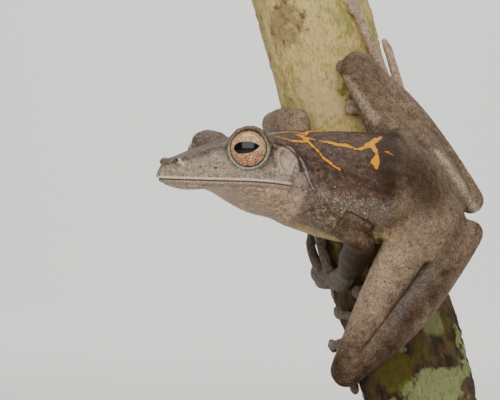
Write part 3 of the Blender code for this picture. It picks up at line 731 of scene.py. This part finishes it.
layers = {
    "lineGap": np.minimum(strokeGap(flat, *backLines), strokeGap(bothSides, marks["front"])),
    "foldGap": strokeGap(flat, marks["leftFold"], marks["rightFold"]),
    "earFold": strokeGap(side, earFold),
    "earStripe": strokeGap(side, earStripe),
    "onHead": zoneOf(found, edges, "head"),
    "onTorso": zoneOf(found, edges, "torso"),
    "onDigits": zoneOf(found, edges, "hand", "foot", rounds=4),
    "tone": spreadOut(tone, edges, 24),
    "around": np.arctan2(np.abs(back[:, 1]), back[:, 2]) / math.pi,  # 0 on the back, 1 under the belly
    "hollow": spreadOut(np.clip(away / 0.05, -1, 1), edges, 2),
    "crease": grooves(points, found, edges, 4),
    "rumpGap": pathDistance(fromSide, rump["path"], rump["widths"]),
    "legEdge": np.min([pathDistance(fromSide, rump[edge]) for edge in ("paleEdge", "thighEdge")], axis=0),
    "hipFold": pathDistance(fromSide, rump["fold"]),
    "armBand": pathDistance(fromSide, armFold["path"], armFold["widths"]),
    "armEdge": pathDistance(fromSide, armFold["edge"]),
    "greyLeg": greyLeg,
    "overFold": side[:, 1] - np.interp(side[:, 0], foldPlaces, foldHeights),
}
scattered = [(70, "ink", 0.15), (34, "rust", 0.12), (260, "lineEdge", 0.11)]  # how many, colour, radius
chance = np.random.default_rng(5)
body = np.flatnonzero(layers["onHead"] < 0.3)
for count, tone, _ in scattered:
    dots = KDTree(count)
    for index, centre in enumerate(points[chance.choice(body, count, replace=False)]):
        dots.insert(centre, index)
    dots.balance()
    layers["gap" + tone] = np.array([dots.find(place)[2] for place in points.tolist()])
for name, values in layers.items():
    layer = frogSkin.data.attributes.new(name, "FLOAT", "POINT")
    layer.data.foreach_set("value", values.astype(np.float32))
layer = frogSkin.data.attributes.new("back", "FLOAT_VECTOR", "POINT")
layer.data.foreach_set("vector", back.astype(np.float32).ravel())
print("skin measured")


# The skin's colours

skinLook = {
    "back": (72, 54, 44),
    "backLight": (108, 86, 72),
    "rear": (56, 34, 17),
    "flank": (120, 104, 90),
    "flankPale": (212, 200, 182),
    "belly": (206, 178, 124),
    "cheek": (158, 140, 124),
    "cheekPale": (204, 188, 168),
    "crown": (88, 74, 62),
    "throat": (194, 166, 138),
    "neck": (140, 114, 102),
    "limbPale": (202, 180, 154),
    "limbDark": (64, 43, 25),
    "limb": (166, 144, 120),
    "limbGrey": (98, 90, 86),
    "digit": (128, 116, 104),
    "digitPale": (188, 162, 142),
    "lip": (252, 228, 202),
    "lipLow": (138, 116, 98),
    "nostrilRim": (240, 204, 172),
    "lid": (122, 106, 92),
    "lidDark": (58, 42, 34),
    "lidRim": (186, 184, 158),
    "lidFoot": (140, 144, 132),
    # stripe is the colour of the painted highlight behind the ear fold
    "stripe": (150, 156, 164),
    "line": (240, 160, 0),
    "lineEdge": (56, 36, 26),
    "rust": (206, 96, 22),
    "speckle": (96, 70, 54),
    "white": (226, 220, 206),
    "fleck": (214, 160, 108),
    "ink": (34, 24, 20),
    "roughness": 0.52,
    "mottling": 0.55,
    "graininess": 0.75,
    "shadeFloor": 0.33,
}

faceDots = [  # forward, up, radius in mm, on both cheeks
    (7.3, 2.2, 0.13), (6.4, 2.4, 0.1), (5.9, 2.3, 0.1), (4.8, 2.7, 0.11), (4.3, 2.9, 0.09), (3.8, 2.8, 0.09),
    (5.15, 2.05, 0.13), (5.35, 2.0, 0.13), (-1.5, -0.9, 0.1),
]
backDots = [  # along the back, left of its middle, radius, colour
    (3.3, 5.5, 0.26, "ink"), (5.4, 8.2, 0.14, "ink"), (6.5, 6.8, 0.11, "fleck"), (8.6, 7.2, 0.12, "rust"),
    (9.3, 7.4, 0.12, "fleck"), (13.0, 7.0, 0.14, "rust"), (5.0, 4.6, 0.1, "rust"), (2.9, 6.1, 0.1, "rust"),
    (4.9, 7.6, 0.13, "rust"), (13.2, 8.4, 0.1, "rust"),
]


def skinPlaces(place):
    at = place * (1 / mm) - tuple(poseOrigin)
    fromMiddle = at - tuple(head["middle"])
    ahead, left, rise = [fromMiddle.along(axis) for axis in headAxes]
    back = attribute(place, "back", "Vector")
    w = SimpleNamespace(at=at, ahead=ahead, left=left, rise=rise, back=back)
    for name in layers:
        setattr(w, name, attribute(place, name))
    w.wander = at.spread(1.1, 3) - 0.5
    w.ragged = at.spread(0.5, 3, 0.6) - 0.5
    w.fray = at.spread(0.55, 4, 0.75) - 0.5
    w.cloud = at.spread(2.4, 4, 0.62)
    w.mottle = at.spread(0.85, 4, 0.68).step(0.3, 0.7)
    w.grain = at.spread(0.3, 3, 0.7).step(0.32, 0.68)
    w.pebbles = at.cells(0.62).step(0.55, 0.1)
    w.face = at.node("CombineXYZ", {}, {0: ahead, 1: rise, 2: 0.0})
    dip = (ahead - 2).least(0)
    w.height = rise - ahead * head["mouthRise"] + dip * dip * head["mouthDrop"]
    w.mouthSpan = w.onHead.step(0.5, 0.9) * ahead.step(head["mouthEnd"] - 0.6, head["mouthEnd"] + 0.4)
    return w


def trunkColour(w, look):
    around = w.around * 180 + w.wander * 26
    along = w.back.part("X")
    dorsal = (w.mottle * 0.7).mixed(look.back, look.backLight)
    dorsal = (along + w.wander * 3).step(11.5, 15.5).mixed(dorsal, look.rear)
    pearls = w.at.cells(0.4).step(0.42, 0.1) * (w.grain * 0.8 + 0.2)
    fromFlank = (w.at * (1.0, 0.0, 1.0) - (14.8, 0.0, -0.4)).reach() + w.wander * 3
    flank = (w.cloud.step(0.35, 0.7) * 0.3).mixed(look.flank, look.back)
    flank = (pearls * (fromFlank.step(6.5, 2.0) * 0.6 + 0.3)).mixed(flank, look.flankPale)
    hips = w.tone.mixed(look.limbDark, look.limb)
    near = w.at.part("Y").step(10.0, 8.0)
    arm = (w.mottle * 0.5).mixed(look.limbDark, look.limb)
    spots = w.at.cells(0.9).step(0.3, 0.16) * w.mottle.step(0.3, 0.8)
    belly = (spots * 0.5).mixed(look.belly, look.limbDark)
    under = (around + along * 0.9).step(102, 130) * (w.at.part("X") + w.wander).step(26.0, 23.0)
    return painted(
        dorsal,
        (around.step(50, 64), flank),
        ((along + w.wander * 2).step(16.5, 18.5), hips),
        ((w.rumpGap + w.wander * 2.4).step(2.6, -2.4) * 0.8, look.rear),
        (near * (w.armBand + w.wander * 0.8).step(0.5, -0.6) * 0.75, arm),
        # painted shade: a dark line in the crease along the top of the arm
        (near * (w.armEdge + w.ragged * 0.2).step(0.45, 0.0) * 0.7, look.rear),
        (under, belly),
    )


def headColour(w, look, trunk):
    pearls = w.pebbles * (w.grain * 0.7 + 0.3)
    specks = w.at.cells(0.36).step(0.34, 0.16) * w.at.spread(0.7, 3).step(0.44, 0.56)
    cheek = (pearls * 0.55).mixed(look.cheek, look.cheekPale)
    cheek = (specks * 0.7).mixed(cheek, look.speckle)
    ridge = w.rise + w.ahead * 0.3 + w.wander * 0.7
    crown = (w.mottle * 0.35).mixed(look.crown, look.cheek)
    throat = ((1 - w.mottle) * 0.3).mixed(look.throat, look.neck)
    neck = (pearls * 0.3).mixed(look.neck, look.flankPale)
    over = (w.overFold + w.ragged * 0.25).step(-0.2, 0.15)
    nape = over * (w.ahead + w.wander).step(-2.2, -3.6)
    nape = nape.most(w.ahead.step(-7.6, -8.8) * w.rise.step(0.6, 2.4))
    return painted(
        cheek,
        (ridge.step(5.4, 6.1), crown),
        ((w.height + w.wander * 0.25).step(-0.5, -0.85), throat),
        ((w.ahead + w.wander).step(-8.2, -9.6), neck),
        (nape.most(w.ahead.step(-8.0, -11.0)), trunk),
    )


def mouthColour(w, look, colour):
    rough = w.ragged * 0.12
    height = w.height + rough
    upper = w.mouthSpan * abs(height - 0.3).step(0.24, 0.08)
    grey = (w.grain * 0.6).mixed(look.lipLow, look.flankPale)
    lower = w.mouthSpan * height.step(-0.04, -0.1) * height.step(-0.72, -0.6)
    foot = w.mouthSpan * abs(height + 0.74).step(0.12, 0.02)
    seam = w.mouthSpan * abs(w.height + 0.02 + rough * 0.5).step(0.15, 0.04)
    return painted(
        colour,
        (upper * (w.grain * 0.25 + 0.75), look.lip),
        (lower * 0.8, grey),
        (foot * 0.4, look.speckle),
        (seam * 0.8, look.lineEdge),
    )


def earColour(w, look, colour):
    far = abs(w.left).step(5.5, 6.5)
    side = w.onHead.step(0.3, 0.8) * far
    wide, tall = head["drumSize"]
    oval = ((w.face - (head["drum"][0], head["drum"][2], 0.0)) * (1 / wide, 1 / tall, 1.0)).reach()
    ripple = (oval * 22 + w.wander * 5).wave()
    fold = w.earFold + w.ragged * 0.15
    band = w.earStripe + w.ragged * 0.5 + 0.08
    return painted(
        colour,
        (side * oval.step(1.0, 0.9) * 0.4, look.lip),
        (side * oval.step(1.0, 0.85) * ripple.step(0.2, 1.0) * 0.25, look.neck),
        (side * abs(oval - 1.0).step(0.08, 0.02) * 0.35, look.white),
        (side * fold.step(0.26, 0.0) * 0.9, look.lineEdge),
        # a dark edge and, inside it, a pale bluish painted highlight just behind the ear fold
        (far * abs(band - 0.18).step(0.2, 0.05) * 0.6, look.lineEdge),
        (far * band.step(0.14, -0.12) * 0.65, look.stripe),
    )


def lidColour(w, look, colour):
    warty = (w.at.cells(0.45).step(0.4, 0.1) * 0.85).mixed(look.lid, look.cheekPale)
    warty = ((1 - w.grain) * 0.7).mixed(warty, look.lidDark)
    red = w.at.cells(0.95).step(0.26, 0.16) * w.at.cells(0.95, output=1).part("X").step(0.6, 0.62)
    foot = (w.at.cells(0.5).step(0.42, 0.2) * 0.8).mixed(look.lidFoot, look.white)
    for eye in eyes.values():
        away = w.at - tuple(eye["centre"])
        front = away.along(eye["axis"])
        wide, tall = away.along(eye["across"]), away.along(eye["rise"])
        radius = (wide * wide + tall * tall) ** 0.5
        near = (away.reach() + w.wander * 0.4).step(4.3, 3.9)
        low = front.step(0.0, 0.5) * (radius + w.ragged * 0.9).step(4.0, 3.6) * tall.step(1.2, -0.8)
        rim = front.step(0.2, 0.6) * (radius + w.ragged * 0.16).step(3.2, 3.04)
        colour = painted(
            colour,
            (near * tall.step(-0.6, 1.0), warty),
            (near * tall.step(0.8, 1.4) * red * 0.8, look.rust),
            (low * 0.75, foot),
            # the pale rim fades out towards the top, as painted shade under the upper lid
            (rim * (w.grain * 0.6 + 0.2) * tall.step(2.9, 1.5), look.lidRim),
        )
    return colour


nostrilSpots = [  # forward, left and up from the nostril, radius, colour
    ((-0.35, 0.0, -0.2), 0.46, "nostrilRim"), ((-0.8, 0.1, -0.55), 0.3, "white"),
    # the last spot paints the nostril's opening near black, as painted shade in the hole
    ((0.05, 0.0, 0.0), 0.32, "ink"),
]


def noseColour(w, look, colour):
    for side in (1, -1):
        for offset, radius, tone in nostrilSpots:
            place = fromHead(mirrored(np.add(head["nostril"], offset), side))
            nearest = points[np.argmin(np.linalg.norm(points - place, axis=1))]
            gap = (w.at - tuple(nearest)).reach() + w.ragged * 0.15
            colour = (gap.step(radius + 0.1, radius - 0.1) * 0.9).mixed(colour, getattr(look, tone))
    return colour


def faceSpots(w, look, colour):
    side = w.onHead.step(0.5, 0.9) * abs(w.left).step(1.5, 2.0)
    for ahead, rise, radius in faceDots:
        gap = (w.face - (ahead, rise, 0.0)).reach() - radius + w.ragged * 0.1
        colour = (side * gap.step(0.06, -0.04) * 0.9).mixed(colour, look.ink)
    orange = (w.at - tuple(fromHead((2.9, 1.3, 5.2)))).reach() + w.ragged * 0.2
    return orange.step(0.3, 0.15).mixed(colour, look.rust)


def backColour(w, look, colour):
    dorsal = w.back.part("Z").step(0.5, 1.5) * (w.onTorso + w.onHead).clamped()
    gap = w.lineGap + w.fray * 0.95 + 0.02
    colour = (dorsal * gap.step(0.4, 0.08) * 0.75).mixed(colour, look.lineEdge)
    colour = (dorsal * gap.step(0.07, -0.02)).mixed(colour, look.line)
    colour = (dorsal * (w.foldGap + w.ragged * 0.2).step(0.3, 0.0) * 0.6).mixed(colour, look.lineEdge)
    hidden = 20.0 * ((layers["onTorso"] < 0.5) | (back[:, 2] < -4))
    for along, out, radius, tone in backDots:
        centre = points[np.argmin(np.hypot(flat[:, 0] - along, flat[:, 1] - out) + hidden)]
        dot = (w.at - tuple(centre)).reach() + w.ragged * 0.2
        colour = (dot.step(radius + 0.07, radius - 0.07) * 0.85).mixed(colour, getattr(look, tone))
    return colour


def scatteredSpecks(w, look, colour):
    for _, tone, radius in scattered:
        dot = (getattr(w, "gap" + tone) + w.ragged * 0.15).step(radius + 0.08, radius - 0.06)
        colour = (dot * 0.8).mixed(colour, getattr(look, tone))
    return colour


palm = (14.4, 8.0, -11.9)  # of the left hand, which is darker than its fingers


def skinMaterial():
    look = lookOf(skinLook)
    material, shader, place = newMaterial("frog_skin")
    w = skinPlaces(place)
    trunk = trunkColour(w, look)
    limb = (w.tone + (w.cloud - 0.5) * 0.9).clamped().mixed(look.limbDark, look.limb)
    limb = (w.greyLeg * 0.6).mixed(limb, look.limbGrey)
    colour = w.onTorso.step(0.15, 0.85).mixed(limb, trunk)
    pale = (w.legEdge + w.wander).step(1.1, 0.2) * w.at.part("Y").step(9.0, 11.0)
    colour = (pale * 0.6).mixed(colour, look.limbPale)
    colour = ((w.hipFold + w.ragged * 0.3).step(0.5, 0.0) * 0.7).mixed(colour, look.rear)
    colour = w.onHead.step(0.15, 0.85).mixed(colour, headColour(w, look, trunk))
    fromPalm = (w.at - palm).reach()
    toes = w.tone.step(0.5, 0.9).mixed(look.digit, look.digitPale)
    colour = (w.onDigits.step(0.3, 0.9) * (fromPalm.step(3.0, 5.5) * 0.65 + 0.1)).mixed(colour, toes)
    colour = colour * (w.mottle * look.mottling + w.grain * look.graininess + look.shadeFloor)
    for finish in (backColour, mouthColour, earColour, lidColour, noseColour, faceSpots, scatteredSpecks):
        colour = finish(w, look, colour)
    # painted shade: the skin is darkened where it lies in a hollow
    colour = (w.hollow.step(0.1, 0.9) * 0.45).mixed(colour, look.limbDark)
    # painted shade: darker along the grooves between thigh and shank and between arm and chest
    colour = (w.crease * 0.7).mixed(colour, look.limbDark)
    plug(shader, {
        "Base Color": colour,
        "Subsurface Weight": 0.05,
        "Subsurface Radius": (1.0, 0.5, 0.3),
        "Subsurface Scale": 0.0006,
        "Specular IOR Level": 0.22,
        "Roughness": w.grain * 0.3 + (look.roughness - 0.15),
        "Normal": bump(w.pebbles * 0.5 + w.grain * 0.35 + w.at.spread(0.16, 2) * 0.4, 0.14, 0.9),
    })
    return material


putOn(frogSkin, skinMaterial())
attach(frogSkin, "root")
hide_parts(*fleshNodes)
print("skin coloured")


# The eyes

eyeLook = {
    "pupilWide": 2.04,
    "pupilTop": 0.82,
    "pupilFoot": 0.95,
    "pupilPlace": (-0.28, 0.17),
    "tilt": 5.8,
    "iris": (255, 226, 188),
    "irisLow": (255, 214, 170),
    "gold": (255, 210, 120),
    "lines": (134, 70, 34),
    "rim": (64, 42, 32),
    "pupil": (8, 9, 12),
}


def irisMaterial(name, eye):
    look = lookOf(eyeLook)
    material, shader, place = newMaterial(name + "_ball")
    at = place * (1 / mm) - tuple(poseOrigin + eye["centre"])
    wide, tall = at.along(eye["across"]), at.along(eye["rise"])
    tilt = math.radians(look.tilt)
    x = wide - look.pupilPlace[0]
    y = tall - look.pupilPlace[1]
    x, y = x * math.cos(tilt) + y * math.sin(tilt), y * math.cos(tilt) - x * math.sin(tilt)
    rough = at.spread(0.5, 3, 0.6) - 0.5
    reach = abs(x / look.pupilWide)
    blunt = x.step(0.4, -0.8)  # the front end is rounded and the rear end pointed
    share = 1 - (reach ** 2 * (1 - blunt) + reach ** 5 * blunt)
    edge = y.step(-0.05, 0.05) * (look.pupilTop - look.pupilFoot) + look.pupilFoot
    outside = abs(y) - share * edge + rough * 0.04
    radius = (wide * wide + tall * tall) ** 0.5
    lower = tall.step(0.6, -1.2)
    worms = abs(at.spread(0.55, 2, 0.5, 0.6) - 0.5).step(0.08, 0.02)
    threads = abs(at.spread(0.3, 2, 0.6, 0.3) - 0.48).step(0.09, 0.03)
    lowRear = (wide * 0.8 - tall * 0.45).step(-0.6, 1.6) * 0.6 + 0.15
    colour = painted(
        lower.mixed(look.iris, look.irisLow),
        (at.spread(0.9, 3).step(0.42, 0.62) * tall.step(0.2, 1.4) * 0.8, look.gold),
        (at.spread(0.34, 3, 0.7).step(0.6, 0.4) * 0.25, look.lines),
        (worms * (lower * 0.3 + 0.55), look.lines),
        (threads * (lower * 0.35 + 0.35), look.lines),
        (outside.step(0.16, 0.0) * 0.55, look.rim),
        ((radius + rough * 0.1).step(2.7, 2.86) * lowRear, look.rim),
        (outside.step(0.025, -0.025), look.pupil),
    )
    plug(shader, {"Base Color": colour, "Roughness": 0.3, "Specular IOR Level": 0.15})
    plug(shader, {"Coat Weight": 0.5, "Coat Roughness": 0.06})
    return material


def makeEye(name, eye):
    bpy.ops.mesh.primitive_uv_sphere_add(segments=96, ring_count=64, radius=head["eyeRadius"] * mm)
    made = bpy.context.object
    made.name = made.data.name = name + "_ball"
    rows = (np.cross(eye["rise"], eye["axis"]), eye["rise"], eye["axis"])
    rotation = Matrix(rows).transposed().to_4x4()
    made.data.transform(Matrix.Translation(Vector(inWorld(eye["centre"]))) @ rotation)
    points = readPoints(made)
    away = points - eye["centre"]
    radius = np.hypot(away @ eye["across"], away @ eye["rise"])
    front = (away @ eye["axis"]) > 0
    points = points + unit(away) * (0.14 * front * (1 - smoothStep(radius, 1.2, 2.6)))[:, None]
    writePoints(made, points)
    bpy.ops.object.shade_smooth()
    putOn(made, irisMaterial(name, eye))
    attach(made, "root")
    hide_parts(name)


for name, eye in eyes.items():
    makeEye(name, eye)
print("eyes made")


# The stem

stemPatches = [  # middle, radius in mm, colour, how strong
    ((5.6, 22.5, 29.5), 3.6, "knot", 0.55), ((16.6, 22.0, 17.5), 2.6, "moss", 0.8),
    ((30.6, 23.3, -31.0), 5.2, "lichen", 0.8), ((31.0, 23.0, -20.6), 2.8, "lichen", 0.6),
    ((24.0, 22.0, -28.0), 4.0, "moss", 0.8), ((11.4, 22.4, 16.4), 4.6, "cream", 0.85),
]
stemLook = {
    "grain": 0.32,
    "ripples": [(4.5, 0.8), (1.6, 0.55), (0.6, 0.25)],  # size and strength in mm
    "pale": (194, 174, 92),
    "cream": (222, 198, 140),
    "green": (142, 146, 66),
    "lichen": (160, 168, 112),
    "knot": (118, 88, 66),
    "crumbs": (226, 180, 134),
    "pink": (158, 118, 92),
    "bark": (98, 74, 46),
    "barkDark": (44, 32, 20),
    "moss": (104, 96, 22),
    "rust": (150, 82, 26),
    "wood": (206, 178, 132),
    "woodRing": (150, 116, 78),
}


def makeBark():
    perch = copyOf("perch_stem", "perch_bark")
    perch.data.name = "perch_bark"
    fuse(perch, stemLook["grain"])
    writePoints(perch, evened(readPoints(perch), readEdges(perch), 20))
    for size, strength in stemLook["ripples"]:
        texture = bpy.data.textures.new("bark", "CLOUDS")
        texture.noise_scale = size * mm
        texture.noise_depth = 3
        ripple = perch.modifiers.new("ripple", "DISPLACE")
        ripple.texture = texture
        ripple.texture_coords = "LOCAL"
        ripple.strength, ripple.mid_level = strength * mm, 0.7
    applyAll(perch)
    bpy.ops.object.shade_smooth()
    return perch


def barkMaterial():
    look = lookOf(stemLook)
    material, shader, place = newMaterial("perch_bark")
    at = place * (1 / mm) - tuple(poseOrigin + stem["middle"])
    along = at.along(stemAlong)
    across = at.along(stemAcross)
    deep = at.along((0, -1, 0))
    radius = (across * across + deep * deep) ** 0.5
    fibres = at.node("CombineXYZ", {}, {0: across, 1: deep, 2: along * 0.45})
    wander = at.spread(5.0, 4, 0.6) - 0.5
    blotch = fibres.spread(2.4, 5, 0.66)
    fine = fibres.spread(0.45, 4, 0.72)
    patch = (at.spread(8.0, 3, 0.55) + fine * 0.08).step(0.62, 0.66)
    upper = painted(
        look.pale,
        (fine.step(0.35, 0.6), look.cream),
        (blotch.step(0.5, 0.36) * 0.6, look.green),
        (fibres.spread(3.2, 4, 0.7).step(0.56, 0.66) * 0.75, look.pink),
        (fibres.spread(1.3, 4, 0.7).step(0.63, 0.7) * 0.8, look.bark),
    )
    bark = painted(
        look.barkDark,
        (blotch.step(0.42, 0.62), look.bark),
        (fibres.spread(2.8, 4, 0.65).step(0.5, 0.66) * 0.75, look.moss),
        (fibres.spread(2.1, 4, 0.65).step(0.58, 0.7) * 0.7, look.rust),
        (patch * 0.85, fine.step(0.3, 0.6).mixed(look.green, look.lichen)),
    )
    colour = (along + wander * 30).step(-7, 5).mixed(bark, upper)
    for middle, size, tone, strength in stemPatches:
        gap = (at - tuple(np.array(middle) - stem["middle"])).reach() + wander * size * 2.4 + fine * 0.8
        colour = (gap.step(size + 0.7, size - 0.5) * strength).mixed(colour, getattr(look, tone))
    knot = (at - tuple(np.array(stemPatches[0][0]) - stem["middle"])).reach().step(5.4, 3.4)
    colour = (knot * at.spread(1.3, 4, 0.7).step(0.52, 0.62) * 0.6).mixed(colour, look.crumbs)
    colour = (knot * at.spread(1.6, 4, 0.7).step(0.46, 0.36) * 0.7).mixed(colour, look.barkDark)
    dashes = (along + wander * 20).step(-4, 4) * -0.3 + 0.5
    colour = (fine.step(0.5, 0.34) * dashes).mixed(colour, look.barkDark)
    ring = ((radius + wander * 3.0 + at.spread(9.0, 2) * 1.6) * 6.2).wave() * 0.5 + 0.5
    wood = (ring * ring * 0.3 + fine * 0.5).mixed(look.wood, look.woodRing)
    wood = (radius.step(4.5, 1.0) * 0.4).mixed(wood, look.woodRing)
    topCut = along.step(stem["top"] - 0.75, stem["top"] - 0.6) * radius.step(9.6, 9.2)
    colour = topCut.mixed(colour, wood)
    normal = bump(blotch * 0.5 + fine * 0.6, 0.5, 0.9)
    plug(shader, {"Base Color": colour, "Roughness": fine * 0.2 + 0.72, "Normal": normal})
    return material


perch = makeBark()
putOn(perch, barkMaterial())
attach(perch, "root")
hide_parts("perch_stem")
print("stem made:", len(perch.data.polygons), "faces")


# The display stand

standLook = {
    "base": (38, 38, 40),
    "basePale": (52, 52, 54),
    "rod": (150, 152, 156),
    "rodPale": (190, 192, 196),
}


def standMaterials():
    look = lookOf(standLook)
    material, shader, place = newMaterial("stand_base")
    grain = (place * (1 / mm)).spread(0.6, 3)
    colour = grain.step(0.3, 0.7).mixed(look.base, look.basePale)
    plug(shader, {"Base Color": colour, "Roughness": grain * 0.2 + 0.38, "Normal": bump(grain, 0.05, 0.4)})
    putOn(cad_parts["stand_base"], material)
    material, shader, place = newMaterial("stand_rod")
    brushed = (place * (1 / mm) * (1.0, 1.0, 12.0)).spread(0.8, 3)
    colour = brushed.step(0.3, 0.7).mixed(look.rod, look.rodPale)
    plug(shader, {"Base Color": colour, "Metallic": 1.0, "Roughness": brushed * 0.25 + 0.22})
    putOn(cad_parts["stand_rod"], material)


standMaterials()
print("stand coloured")


# The floor and the light

stage = {  # sizes in metres
    "floor": (226, 226, 224),
    "reach": 1.2,
    "wall": 1.4,
    "cove": 0.5,
    "air": (1.0, 0.97, 0.93, 1.0),
    "airStrength": 0.12,
    "lights": {  # place, size, watts, colour, what it shines at
        "key": ((-0.03, -0.42, 0.26), (0.6, 0.36), 2.4, (1.0, 0.97, 0.93), (0.0, 0.0, 0.055)),
        "top": ((0.15, 0.25, 0.55), (0.4, 0.4), 1.0, (1.0, 0.97, 0.94), (0.0, 0.0, 0.055)),
        "wall": ((0.0, 0.35, 0.9), (0.6, 0.3), 14.0, (1.0, 1.0, 1.0), (0.0, 1.2, 0.3)),
    },
}


def makeStage():
    reach = stage["reach"]
    rows = ((-reach, 0), (reach, 0), (reach, stage["wall"]))
    data = bpy.data.meshes.new("floor")
    corners = [(x, y, z) for y, z in rows for x in (-reach, reach)]
    data.from_pydata(corners, [], [(0, 1, 3, 2), (2, 3, 5, 4)])
    floor = addObject("floor", data)
    bevel = floor.modifiers.new("cove", "BEVEL")
    bevel.width = stage["cove"]
    bevel.segments = 16
    applyAll(floor)
    bpy.ops.object.shade_smooth()
    material, shader, _ = newMaterial("floor")
    plug(shader, {"Base Color": shade(*stage["floor"]), "Roughness": 0.9})
    putOn(floor, material)
    floor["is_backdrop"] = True


def addLight(name, place, size, power, colour, target):
    data = bpy.data.lights.new(name, "AREA")
    data.shape = "RECTANGLE"
    data.size, data.size_y = size
    data.energy = power
    data.color = colour
    made = addObject(name, data)
    made.location = place
    towards = Vector(target) - Vector(place)
    made.rotation_euler = towards.to_track_quat("-Z", "Y").to_euler()


makeStage()
for name, values in stage["lights"].items():
    addLight(name, *values)
world = bpy.data.worlds.new("studio")
bpy.context.scene.world = world
world.use_nodes = True
plug(world.node_tree.nodes["Background"], {"Color": stage["air"], "Strength": stage["airStrength"]})
print("floor and lights made")

low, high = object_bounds()
